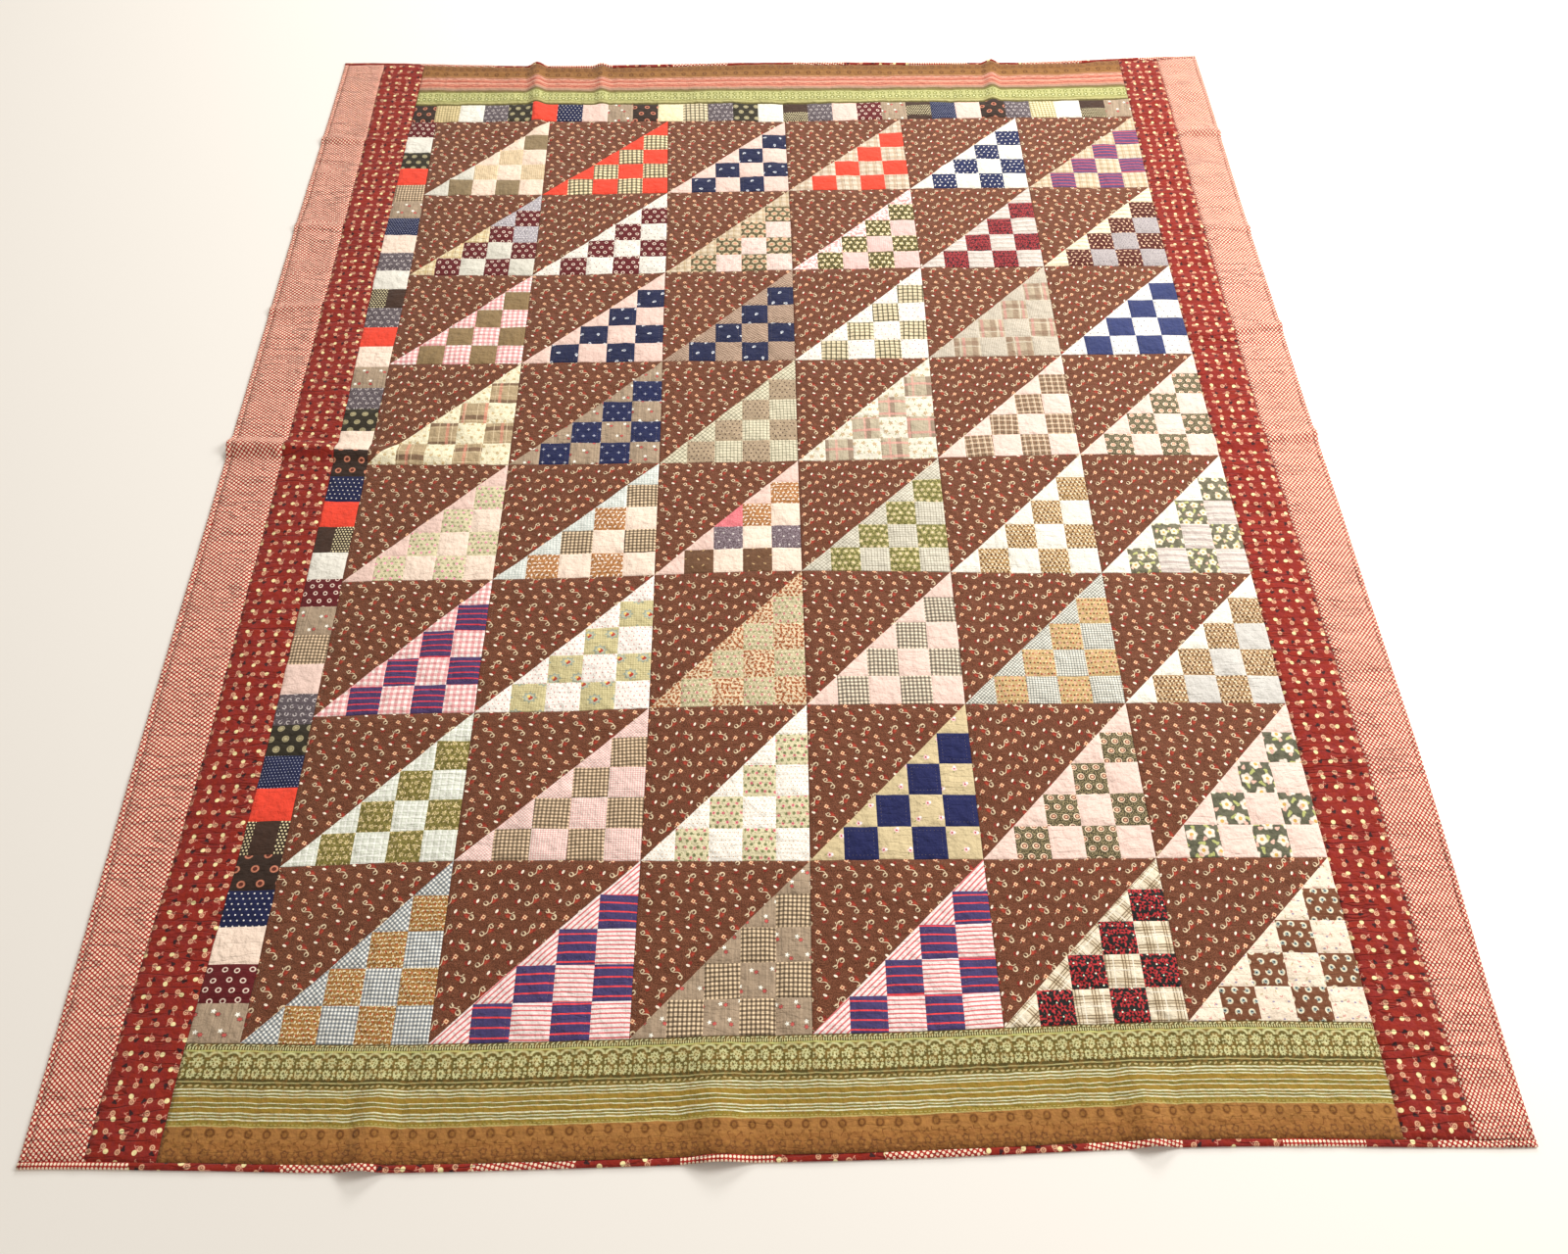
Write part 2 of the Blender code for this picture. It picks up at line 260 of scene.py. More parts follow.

# %% [markdown]
# ## Folds that stand up
#
# The quilt was stored folded and isn't smoothed flat. Each fold is a low crest that runs in from an
# edge and fades out. They are listed with the solids' own numbers, so the dressed cloth rises where
# the solid does.

# %% Folds
AT_LEFT, AT_RIGHT = LEFT / BLOCK, RIGHT / BLOCK
AT_BOTTOM, AT_TOP = BOTTOM / BLOCK, TOP / BLOCK
FOLDS = (
    # start x, start y, end x, end y in blocks, half width in mm, height in mm
    (AT_LEFT, 0.16, -2.1, 0.05, 26, 13),
    (AT_RIGHT, 3.75, 2.9, 3.8, 16, 6),
    (AT_RIGHT, 2.45, 2.9, 2.5, 16, 5),
    (AT_RIGHT, 1.3, 3.0, 1.2, 18, 6),
    (AT_RIGHT, 0.2, 2.8, 0.1, 18, 7),
    (AT_LEFT, 3.75, -3.1, 3.7, 16, 5),
    (AT_LEFT, 2.6, -3.2, 2.55, 16, 4),
    (AT_LEFT, 1.6, -3.2, 1.7, 16, 4),
    (-2.17, AT_TOP, -2.1, 3.7, 22, 10),
    (-1.6, AT_TOP, -1.55, 3.9, 18, 6),
    (1.87, AT_TOP, 1.8, 3.8, 20, 9),
    (-0.5, AT_BOTTOM, -0.55, -3.9, 48, 12),
    (-2.26, AT_BOTTOM, -2.2, -4.05, 32, 12),
    (1.7, AT_BOTTOM, 1.65, -4.1, 32, 10),
)


def along_line(x, y, ends):
    """For points beside a line, whose ends are in blocks: the part of its length they are at, and how
    far off they are."""
    x0, y0, x1, y1 = [end * BLOCK for end in ends]
    run_x, run_y = x1 - x0, y1 - y0
    part = ((x - x0) * run_x + (y - y0) * run_y) / (run_x * run_x + run_y * run_y)
    held = np.clip(part, 0, 1)
    return part, np.hypot(x - x0 - run_x * held, y - y0 - run_y * held)


def lift(x, y):
    """How far the cloth is raised off the floor by the folds."""
    raised = np.zeros(len(x))
    for *ends, half_width, height in FOLDS:
        part, off = along_line(x, y, ends)
        away = np.clip(off / (half_width * MM), 0, 1)
        slope = 1 - away * away * (3 - 2 * away)
        crest = height * MM * slope * (1 - np.clip(part, 0, 1) ** 2)
        raised = np.maximum(raised, np.where(part > 1, 0, crest))
    return raised


print(len(FOLDS), "folds, the highest", max(fold[5] for fold in FOLDS), "mm")

# %% [markdown]
# ## Wrinkles, puckers and old creases
#
# Washing shrinks the padding and the thread, and the cloth between them puckers. That is too
# irregular to draw line by line, so it comes from smooth noise: a fixed table of random numbers, read
# between its entries. Broad swells, medium rumples and fine crinkles add up, and thin ridges stand
# where one noise crosses zero. Listed one by one are the lines where it lay folded in a cupboard, and
# the clearest creases of the bottom and side borders.

# %% Wrinkles
LATTICE_SIDE = 256
LATTICE = np.random.default_rng(11).uniform(-1, 1, (LATTICE_SIDE, LATTICE_SIDE))


def noise(x, y, start):
    """Smooth noise from -1 to 1, with one lattice cell to a whole step of x and y."""
    i, j = np.floor(x).astype(int), np.floor(y).astype(int)
    across, up = x - i, y - j
    across, up = across * across * (3 - 2 * across), up * up * (3 - 2 * up)

    def at(a, b):
        return LATTICE[(i + a + start) % LATTICE_SIDE, (j + b + 3 * start) % LATTICE_SIDE]

    low = at(0, 0) + (at(1, 0) - at(0, 0)) * across
    high = at(0, 1) + (at(1, 1) - at(0, 1)) * across
    return low + (high - low) * up


SWELLS = (
    # height in mm, cell across and up in mm, start in the lattice
    (1.2, 120, 120, 17),
    (1.0, 36, 30, 23),
    (0.5, 13, 12, 31),
)
RIDGES = ((75, 60, 47), (48, 70, 53))  # cell across and up in mm, start in the lattice
RIDGE_HEIGHT, RIDGE_SHARPNESS = 1.2, 0.13
SWAY, SWAY_CELL = 14, 55  # mm, how far noise bends the swells and ridges
PLACED_CREASES = (
    # start x, start y, end x, end y in blocks, half width in mm, depth in mm
    (-0.2, -4.7, -0.2, -3.1, 6, 3.4),
    (-0.03, -3.2, -0.02, 4.7, 5, 1.1),
    (0.02, -4.7, 0.03, 4.7, 6, -0.8),
    (-3.8, 0.08, 3.8, 0.03, 6, 0.9),
    (-2.09, -4.7, -2.08, -3.95, 6, 3.6),
    (-1.97, -4.5, -1.98, -4.0, 3, 1.2),
    (1.53, -4.7, 1.5, -4.0, 6, 3.0),
    (1.85, -4.7, 1.88, -4.0, 6, 3.4),
    (1.7, -4.6, 1.68, -4.1, 4, 1.0),
    (-1.52, -4.65, -1.5, 4.6, 5, 0.7),
    (1.52, -4.0, 1.49, 4.6, 5, 0.7),
    (-3.8, 2.03, 3.8, 2.0, 5, 0.6),
    (-3.8, -2.0, 3.8, -1.97, 5, 0.6),
    (3.05, 1.13, 3.85, 1.06, 5, 1.9),
    (3.1, 1.3, 3.7, 1.24, 4, 1.2),
    (3.02, 0.25, 3.85, 0.2, 4, 2.8),
    (3.05, 0.05, 3.8, 0.0, 4, 1.8),
    (3.1, -0.2, 3.85, -0.15, 4, 1.6),
    (3.05, -0.8, 3.85, -0.77, 5, 2.0),
    (3.2, -0.96, 3.85, -0.9, 4, 1.4),
    (3.05, -1.5, 3.85, -1.42, 4, 1.8),
    (3.1, -2.3, 3.85, -2.2, 5, 1.9),
    (3.05, -2.58, 3.7, -2.5, 4, 1.3),
    (3.1, -3.3, 3.85, -3.2, 4, 1.6),
    (-3.75, 1.1, -3.1, 1.14, 4, 1.0),
    (-3.8, -1.3, -3.1, -1.36, 4, 1.1),
    (-3.8, -2.7, -3.2, -2.64, 4, 1.0),
)


def rumples(x, y):
    """The height that wrinkles and creases add to the cloth, in millimetres."""
    u, v = x / MM, y / MM
    bend_u = u + SWAY * noise(u / SWAY_CELL, v / SWAY_CELL, 3)
    bend_v = v + SWAY * noise(u / SWAY_CELL, v / SWAY_CELL, 9)
    height = 0
    for swell, wide, high, start in SWELLS:
        height = height + swell * noise(bend_u / wide, bend_v / high, start)
    strong = np.clip(0.3 + noise(u / 90, v / 90, 41), 0, 1)
    for wide, high, start in RIDGES:
        crossing = np.abs(noise(bend_u / wide, bend_v / high, start)) / RIDGE_SHARPNESS
        ridge = np.clip(1 - crossing, 0, 1)
        height += RIDGE_HEIGHT * strong * ridge * ridge
    swayed = x + 3 * MM * noise(u / 40, v / 40, 5)
    uneven = 0.6 + 0.4 * noise(u / 45, v / 45, 61)
    for *ends, half_width, depth in PLACED_CREASES:
        _, off = along_line(swayed, y, ends)
        height -= depth * uneven * np.exp(-((off / MM / half_width) ** 2))
    return height


BORDER_PUCKERS, LEFT_SHARE = 2.6, 0.45  # mm along the right, and how much of it along the left
PUCKER_GAP = 13  # mm from one level crease to the next
PUCKER_FADE_IN, PUCKER_FADE_OUT = 20, 16  # mm from the field's seam, and towards the binding


def border_puckers(x, y):
    """Short level creases where the side borders drew up, in millimetres."""
    u, v = x / MM, y / MM
    right = np.clip((x - FIELD_RIGHT) / (PUCKER_FADE_IN * MM), 0, 1)
    left = LEFT_SHARE * np.clip((STRIP_LEFT - x) / (PUCKER_FADE_IN * MM), 0, 1)
    to_binding = np.minimum(x - DOTTED_LEFT, DOTTED_RIGHT - x)
    inside = np.clip((to_binding - 2 * MM) / (PUCKER_FADE_OUT * MM), 0.1, 1)
    bend_u = u / 70 + 0.5 * noise(u / 30, v / 30, 71)
    bend_v = (v + 5 * noise(u / 25, v / 40, 73)) / PUCKER_GAP
    sharp = np.clip(1 - np.abs(noise(bend_u, bend_v, 79)) / 0.3, 0, 1) ** 1.5
    swell = noise(u / 90, v / 30, 83)
    return BORDER_PUCKERS * (right + left) * inside * (0.9 * swell - 0.8 * sharp)


spots_x = np.linspace(LEFT, RIGHT, 200)
print("wrinkles up to", round(float(np.abs(rumples(spots_x, spots_x * 0.3)).max()), 1), "mm")

# %% [markdown]
# ## Building shader nodes from Python
#
# Every cloth is a shader of a few layers, and each layer is a handful of maths nodes. A small helper
# adds a node, sets its plain values and joins its inputs, so that the print of a cloth reads like a
# description of it.


# %% A helper for nodes
class Tree:
    """Adds nodes to one node tree and joins them."""

    def __init__(self, tree):
        self.tree = tree

    def node(self, kind, **settings):
        made = self.tree.nodes.new(kind)
        for key, value in settings.items():
            setattr(made, key, value)
        return made

    def join(self, value, socket):
        if isinstance(value, bpy.types.NodeSocket):
            self.tree.links.new(value, socket)
        else:
            socket.default_value = value

    def fed(self, kind, *values, **settings):
        """A node whose first inputs are joined or set in order."""
        made = self.node(kind, **settings)
        for value, socket in zip(values, made.inputs):
            self.join(value, socket)
        return made

    def filled(self, kind, inputs, **settings):
        """A node whose inputs are joined or set by name or number."""
        made = self.node(kind, **settings)
        for title, value in inputs.items():
            self.join(value, made.inputs[title])
        return made

    def maths(self, operation, *values):
        return self.fed("ShaderNodeMath", *values, operation=operation).outputs[0]

    def vector(self, operation, *values):
        made = self.fed("ShaderNodeVectorMath", *values, operation=operation)
        return made.outputs["Value" if operation == "LENGTH" else "Vector"]

    def scaled(self, vector, share):
        inputs = {0: vector, "Scale": share}
        return self.filled("ShaderNodeVectorMath", inputs, operation="SCALE").outputs[0]

    def turned(self, vector, angle):
        inputs = {"Vector": vector, "Angle": angle}
        return self.filled("ShaderNodeVectorRotate", inputs, rotation_type="Z_AXIS").outputs[0]

    def split(self, vector):
        return self.fed("ShaderNodeSeparateXYZ", vector).outputs[:2]

    def joined(self, x, y, z=0.0):
        return self.fed("ShaderNodeCombineXYZ", x, y, z).outputs[0]

    def spread(self, value, low, high, to_low=0.0, to_high=1.0):
        """The value moved from one range to another, and kept inside it."""
        return self.fed("ShaderNodeMapRange", value, low, high, to_low, to_high).outputs[0]

    def bump(self, height, strength, distance, normal=None):
        """A normal that stands for a relief of this height."""
        inputs = {"Height": height, "Strength": strength, "Distance": distance}
        if normal is not None:
            inputs["Normal"] = normal
        return self.filled("ShaderNodeBump", inputs).outputs[0]

    def noise(self, vector, scale, detail=2.0):
        inputs = {"Vector": vector, "Scale": scale, "Detail": detail}
        return self.filled("ShaderNodeTexNoise", inputs, noise_dimensions="2D").outputs[0]

    def mixed(self, share, first, second):
        inputs = {"Factor": share, 6: first, 7: second}  # the colours are the seventh and eighth
        return self.filled("ShaderNodeMix", inputs, data_type="RGBA").outputs[2]

    def group(self, group, **values):
        made = self.node("ShaderNodeGroup", node_tree=group)
        for key, value in values.items():
            self.join(value, made.inputs[key.replace("_", " ").capitalize()])
        return made.outputs


def new_group(name, inputs, outputs):
    """A node group with named sockets: its tree, its inputs and the sockets of its output node."""
    group = bpy.data.node_groups.new(name, "ShaderNodeTree")
    for way, sockets in (("INPUT", inputs), ("OUTPUT", outputs)):
        for title, kind in sockets.items():
            group.interface.new_socket(name=title, in_out=way, socket_type="NodeSocket" + kind)
    tree = Tree(group)
    return group, tree, tree.node("NodeGroupInput").outputs, tree.node("NodeGroupOutput").inputs


# %% [markdown]
# ## Where a motif repeats
#
# A printing roller repeats its motif on a lattice. This group cuts the cloth into cells, moves every
# row along a little, and gives the place inside the cell, so one flower drawn once shows in each
# cell. A random shift and turn for each cell keeps it from looking ruled. It also gives the number of
# the row, for what repeats in one row only. All lengths are in millimetres on the cloth.

# %% Node group for repeats
REPEAT, t, given, wanted = new_group(
    "repeat of a print",
    {"Place": "Vector", "Pitch": "Vector", "Shift": "Float", "Scatter": "Float", "Turn": "Float"},
    {"Place": "Vector", "Row": "Float"},
)
pitch_x, pitch_y = t.split(given["Pitch"])
x, y = t.split(given["Place"])
v = t.maths("DIVIDE", y, pitch_y)
row = t.maths("FLOOR", v)
u = t.maths("MULTIPLY_ADD", row, given["Shift"], t.maths("DIVIDE", x, pitch_x))
column = t.maths("FLOOR", u)
dice = t.node("ShaderNodeTexWhiteNoise", noise_dimensions="2D")
t.join(t.joined(column, row), dice.inputs["Vector"])
cell_x = t.maths("SUBTRACT", t.maths("SUBTRACT", u, column), 0.5)
cell_y = t.maths("SUBTRACT", t.maths("SUBTRACT", v, row), 0.5)
cell = t.vector("MULTIPLY", t.joined(cell_x, cell_y), given["Pitch"])
stray = t.scaled(t.vector("SUBTRACT", dice.outputs["Color"], (0.5, 0.5, 0.5)), given["Scatter"])
turn = t.maths("MULTIPLY", t.maths("SUBTRACT", dice.outputs["Value"], 0.5), given["Turn"])
t.join(t.turned(t.vector("ADD", cell, stray), turn), wanted["Place"])
t.join(row, wanted["Row"])
print("made the group", REPEAT.name)

# %% [markdown]
# ## What a motif is drawn with
#
# Small cotton prints come down to a few strokes: a round or oval spot, a ring, a flower with lobes,
# and a curled stem. One group draws the spot, ring and flower, because each is a radius compared with
# a rim, and one draws the curl. A third gives straight stripes, which also make checks and plaids.

# %% Node groups for spots, curls and stripes
SOFT_RIM, SOFT_HOLE = 0.12, 0.15  # shares of a spot's radius over which its ink fades
SOFT_LINE = 0.15  # mm over which the side of a stripe fades, each way

SPOT, t, given, wanted = new_group(
    "spot of a print",
    {"Place": "Vector", "Centre": "Vector", "Size": "Vector"}
    | dict.fromkeys(("Angle", "Hollow", "Lobes", "Depth"), "Float"),
    {"Mask": "Float"},
)
off = t.turned(t.vector("SUBTRACT", given["Place"], given["Centre"]), given["Angle"])
off = t.vector("DIVIDE", t.vector("MULTIPLY", off, (1, 1, 0)), given["Size"])
off_x, off_y = t.split(off)
wave = t.maths("COSINE", t.maths("MULTIPLY", t.maths("ARCTAN2", off_y, off_x), given["Lobes"]))
notch = t.maths("SUBTRACT", 0.5, t.maths("MULTIPLY", wave, 0.5))
rim = t.maths("SUBTRACT", 1.0, t.maths("MULTIPLY", given["Depth"], notch))
distance = t.maths("DIVIDE", t.vector("LENGTH", off), rim)
filled = t.spread(distance, 1 + SOFT_RIM, 1 - SOFT_RIM)
core = t.spread(distance, given["Hollow"], t.maths("ADD", given["Hollow"], SOFT_HOLE))
t.join(t.maths("MULTIPLY", filled, core), wanted["Mask"])

CURL, t, given, wanted = new_group(
    "curl of a print",
    {"Place": "Vector", "Centre": "Vector"}
    | dict.fromkeys(("Angle", "Length", "Swing", "Width", "Waves"), "Float"),
    {"Mask": "Float"},
)
off = t.turned(t.vector("SUBTRACT", given["Place"], given["Centre"]), given["Angle"])
off_x, off_y = t.split(off)
along = t.maths("DIVIDE", off_x, given["Length"])
wave = t.maths("MULTIPLY", t.maths("SINE", t.maths("MULTIPLY", along, given["Waves"])), given["Swing"])
beside = t.maths("DIVIDE", t.maths("ABSOLUTE", t.maths("SUBTRACT", off_y, wave)), given["Width"])
ends = t.spread(t.maths("ABSOLUTE", along), 0.53, 0.47)
t.join(t.maths("MULTIPLY", t.spread(beside, 0.62, 0.38), ends), wanted["Mask"])

STRIPE, t, given, wanted = new_group(
    "stripes of a print",
    {"Place": "Vector"} | dict.fromkeys(("Pitch", "Width", "Angle", "Offset"), "Float"),
    {"Mask": "Float"},
)
across, _ = t.split(t.turned(given["Place"], given["Angle"]))
shifted = t.maths("SUBTRACT", across, given["Offset"])
part = t.maths("FRACT", t.maths("DIVIDE", shifted, given["Pitch"]))
beside = t.maths("MULTIPLY", t.maths("ABSOLUTE", t.maths("SUBTRACT", part, 0.5)), given["Pitch"])
half = t.maths("MULTIPLY", given["Width"], 0.5)
fade_out, fade_in = t.maths("ADD", half, SOFT_LINE), t.maths("SUBTRACT", half, SOFT_LINE)
t.join(t.spread(beside, fade_out, fade_in), wanted["Mask"])
print("made the groups", SPOT.name + ",", CURL.name, "and", STRIPE.name)

# %% [markdown]
# ## The finish of washed cotton
#
# Under every print is the same plain weave. The group lays fine warp and weft flecks over the print,
# fades it a little from place to place, and gives the bump: threads at half a millimetre, and the
# crinkles too small for the mesh. Along small level creases it sinks the bump and darkens the colour,
# which is painted shade. The crinkles read the place on the floor, so that they cross from patch to
# patch, while the threads follow each patch's own cloth.

# %% Node group for the weave
WARP, WEFT, SLUBS = (1.6, 0.16, 1), (0.16, 1.6, 1), (0.45, 0.02, 1)  # threads to the millimetre
DRAWN_UP = (11, 62, 11)  # small creases to the metre, most of them level
# CREASE_SHADE is painted shade: how much the colour darkens along each small crease. CREASE_DEPTH sinks
# their bump.
CREASE_SHADE, CREASE_DEPTH, CREASE_WIDTH = 0.2, 0.35, 0.045
FADE_SCALE, CRINKLE_SCALE = 16.0, 85.0  # to the metre
CRINKLE_BUMP, WEAVE_BUMP = (0.8, 4.4 * MM), (0.35, 0.12 * MM)  # strength and distance

COTTON, t, given, wanted = new_group(
    "washed cotton",
    {"Colour": "Color", "Place": "Vector", "Slub": "Float", "Creases": "Float"},
    {"Colour": "Color", "Roughness": "Float", "Normal": "Vector"},
)
floor_place = t.node("ShaderNodeTexCoord").outputs["Object"]
warp = t.noise(t.vector("MULTIPLY", given["Place"], WARP), 1.0, 1.0)
weft = t.noise(t.vector("MULTIPLY", given["Place"], WEFT), 1.0, 1.0)
threads = t.maths("ADD", warp, weft)
fade = t.noise(floor_place, FADE_SCALE, 3.0)
streak = t.noise(t.vector("MULTIPLY", given["Place"], SLUBS), 1.0, 3.0)
tone = t.spread(threads, 0.7, 1.3, 0.93, 1.07)
tone = t.maths("ADD", tone, t.spread(fade, 0.3, 0.7, -0.06, 0.06))
slub = t.maths("MULTIPLY", t.maths("SUBTRACT", streak, 0.5), given["Slub"])
tone = t.maths("ADD", tone, slub)
drawn_up = t.noise(t.vector("MULTIPLY", floor_place, DRAWN_UP), 1.0, 2.0)
crossing = t.maths("ABSOLUTE", t.maths("SUBTRACT", drawn_up, 0.5))
crease = t.spread(crossing, 0.0, CREASE_WIDTH, 1.0, 0.0)
crease = t.maths("MULTIPLY", crease, t.spread(fade, 0.4, 0.6, 0.25, 1.0))
crease = t.maths("MULTIPLY", crease, given["Creases"])
# Painted shade: the colour darkens along the creases
tone = t.maths("SUBTRACT", tone, t.maths("MULTIPLY", crease, CREASE_SHADE))
t.join(t.scaled(given["Colour"], tone), wanted["Colour"])
t.join(t.spread(threads, 0.6, 1.4, 0.96, 0.82), wanted["Roughness"])
crinkle = t.noise(floor_place, CRINKLE_SCALE, 4.0)
crinkle = t.maths("SUBTRACT", crinkle, t.maths("MULTIPLY", crease, CREASE_DEPTH))
crinkles = t.bump(crinkle, *CRINKLE_BUMP)
t.join(t.bump(threads, *WEAVE_BUMP, crinkles), wanted["Normal"])
print("made the group", COTTON.name)

# %% [markdown]
# ## Describing a print
#
# A cloth is its ground colour and a list of layers, in the order that a printer would lay the inks. A
# layer is a function that takes the colour so far and returns it with its own ink on top. The strokes
# of a motif, such as a spot or a curl, are each a colour and a function for where it covers. Angles
# are in degrees and lengths in millimetres.


# %% Layers of a print
def pair(size):
    """Two lengths, from one or two."""
    return size if isinstance(size, tuple) else (size, size)


def stroke(colour, group, at, angle, **values):
    """A colour, and a function that draws its mask with a node group about a place in the motif."""

    def mask(t, place):
        turn = math.radians(-angle)
        return t.group(group, place=place, centre=(*at, 0), angle=turn, **values)[0]

    return colour, mask


def spot(colour, size, at=(0, 0), angle=0, hollow=0.0, lobes=0, depth=0.0):
    """A round, oval, ring or flower inside a motif. Size is one radius or two."""
    hole, lobes = hollow - SOFT_HOLE, float(lobes)
    return stroke(colour, SPOT, at, angle, size=(*pair(size), 1), hollow=hole, lobes=lobes, depth=depth)


def curl(colour, length, swing=0.0, width=0.8, at=(0, 0), angle=0, waves=1.0):
    """A stem or an S inside a motif."""
    waves = waves * math.tau
    return stroke(colour, CURL, at, angle, length=length, swing=swing, width=width, waves=waves)


def blossom(colour, size, eye, at=(0, 0), petals=5, cut=0.4):
    """A small flower with an eye."""
    return spot(colour, size, at, 0, 0, petals, cut), spot(eye, size * 0.32, at)


def motif(pitch, *strokes, shift=0.5, scatter=0.0, turn=0, at=(0, 0), one_row=False):
    """Strokes repeated on a lattice, each time moved and turned a little by chance."""
    values = {"pitch": (*pair(pitch), 1), "shift": shift, "scatter": scatter}
    values["turn"] = 2 * math.radians(turn)

    def ink(t, place, before):
        moved = t.vector("ADD", place, (*at, 0)) if at != (0, 0) else place
        cell, row = t.group(REPEAT, place=moved, **values)
        inside = t.maths("COMPARE", row, 0.0, 0.5) if one_row else None
        for colour, mask in strokes:
            cover = t.maths("MULTIPLY", mask(t, cell), inside) if one_row else mask(t, cell)
            before = t.mixed(cover, before, dye(colour))
        return before

    return ink


def flecks(pitch, colour, size, at=(0, 0), scatter=3, turn=120):
    """Small marks strewn over the ground in every direction."""
    return motif(pitch, spot(colour, size), scatter=scatter, turn=turn, at=at)


def stripes(pitch, width, colour, angle=0, offset=0.0, strength=1.0):
    """Straight stripes, upright at angle 0 and level at 90."""
    values = {"pitch": pitch, "width": width, "angle": math.radians(angle), "offset": offset}

    def ink(t, place, before):
        band = t.group(STRIPE, place=place, **values)[0]
        cover = t.maths("MULTIPLY", band, strength) if strength < 1 else band
        return t.mixed(cover, before, dye(colour))

    return ink


def check(pitch, colour, share=0.5, strength=0.6, offset=0.0):
    """The same stripes both ways, darker where they cross, as in gingham."""
    both = [stripes(pitch, pitch * share, colour, angle, offset, strength) for angle in (0, 90)]

    def ink(t, place, before):
        for layer in both:
            before = layer(t, place, before)
        return before

    return ink


def blotches(size, colour, amount=0.5, strength=1.0):
    """Uneven patches of ink over about an amount of the cloth."""
    edge = 0.5 + 0.28 * (0.5 - amount)

    def ink(t, place, before):
        cloud = t.noise(place, 1 / size, 1.0)
        cover = t.spread(cloud, edge - 0.02, edge + 0.02, 0.0, strength)
        return t.mixed(cover, before, dye(colour))

    return ink


CLOTHS = {}
PRINT_MAP = "cloth"
FINISH = {"Sheen Weight": 0.06, "Sheen Roughness": 0.6, "Specular IOR Level": 0.25}


# creases sets how deep the small creases sink and how much painted shade darkens them
def cloth(name, ground, *layers, slub=0.0, creases=0.4):
    """A material for one cloth, from its ground colour and its layers of ink."""
    material = bpy.data.materials.new(name.replace("_", " "))
    material.use_nodes = True
    t = Tree(material.node_tree)
    place = t.node("ShaderNodeUVMap", uv_map=PRINT_MAP).outputs[0]
    place = t.vector("MULTIPLY", place, (1 / MM, 1 / MM, 0))
    colour = t.node("ShaderNodeRGB").outputs[0]
    colour.default_value = dye(ground)
    for ink in layers:
        colour = ink(t, place, colour)
    surface = material.node_tree.nodes["Principled BSDF"]
    finished = t.group(COTTON, colour=colour, place=place, slub=slub, creases=creases)
    for value, title in zip(finished, ("Base Color", "Roughness", "Normal")):
        t.join(value, surface.inputs[title])
    for title, value in FINISH.items():
        t.join(value, surface.inputs[title])
    CLOTHS[name] = material


# %% [markdown]
# ## The brown print of the large triangles
#
# One brown cotton ties the quilt together. Its motifs stand in level rows: a curled stem with a red
# blossom, a squarish tan flower and a small split leaf. The next row has the same three, leaning the
# other way. So the print is two layers on one lattice, one for each row.

# %% Brown print
STEM, PETAL, CREAM, OXBLOOD, RUST = "#e0cca9", "#efc49a", "#f8ecd8", "#8a2c20", "#a8402a"
BUD, FLOWER_EYE = "#5b3324", "#a3492a"
BROWN_REPEAT = (39, 49.5)  # mm, two rows to a repeat


def hook(at, size, lean):
    """The curled end of a stem: most of a thin ring, with a bud in it."""
    return spot(STEM, size, at, lean, 0.6), spot(BUD, size * 0.5, (at[0] - 0.9, at[1] - 0.9))


def brown_row(stem_at, lean, blossom_at, flower_at, leaf_at, red_off, offset):
    """One row of the brown print: where its stem, blossom, flower and leaf stand in the repeat."""
    far = (stem_at[0] + 7.5 * math.cos(math.radians(lean)), stem_at[1] + 7.5 * math.sin(math.radians(lean)))
    near = (2 * stem_at[0] - far[0], 2 * stem_at[1] - far[1])
    return motif(
        BROWN_REPEAT,
        spot(OXBLOOD, (5.4, 3.7), blossom_at, lean, 0, 3, 0.3),
        spot(RUST, (2.5, 1.6), (blossom_at[0] + 1.2, blossom_at[1] - 0.5), lean),
        *hook((far[0] - 0.3, far[1] - 2.4), 3.1, 20),
        *hook((near[0] + 2.9, near[1] - 0.6), 2.5, -20),
        curl(STEM, 17, 1.8, 1.1, stem_at, lean, 1.0),
        spot(STEM, (1.5, 0.6), (stem_at[0] - 1.4, stem_at[1] + 2.6), lean + 70),
        spot(OXBLOOD, 3.8, (flower_at[0] + 0.5, flower_at[1] - 0.5), 12, 0, 4, 0.2),
        spot(PETAL, 3.1, flower_at, 12, 0, 4, 0.28),
        spot(FLOWER_EYE, 1.15, flower_at),
        curl(STEM, 3.2, 0.3, 0.8, (flower_at[0] + 3.3, flower_at[1] - 3.2), -50, 1.0),
        spot(OXBLOOD, (3.4, 2.4), (leaf_at[0] + red_off[0], leaf_at[1] + red_off[1]), 35),
        spot(CREAM, (2.7, 1.5), leaf_at, -25),
        shift=0.0,
        at=offset,
    )


cloth(
    "brown_print",
    "#572e1b",
    blotches(1.3, "#804d34", 0.5, 0.9),
    brown_row((-10, 7), 41, (-7.5, 4.0), (5, -2.5), (-13, -10.3), (2.4, 2.0), (0, 0)),
    brown_row((10, 7), -35, (11.5, 10.0), (-5.5, -0.5), (12.6, -10), (1.2, -2.6), (0, 24.75)),
)
print("the brown print repeats every", BROWN_REPEAT, "mm")

# %% [markdown]
# ## The border prints
#
# The inner side border is a brick red, uneven in its dye, with tossed pairs of round seeds on forked
# stems. In half the pairs a dark leaf takes the place of the cream seed, so two layers share one
# lattice. The outer border is red under a close lattice of cream dots, and is laid slantwise.

# %% Red and dotted borders
SEED, SEED_RING, SEED_EYE, LEAF, FORK = "#f4e5aa", "#dca886", "#a0604a", "#37191b", "#c98370"
SEED_REPEAT = (39, 18)


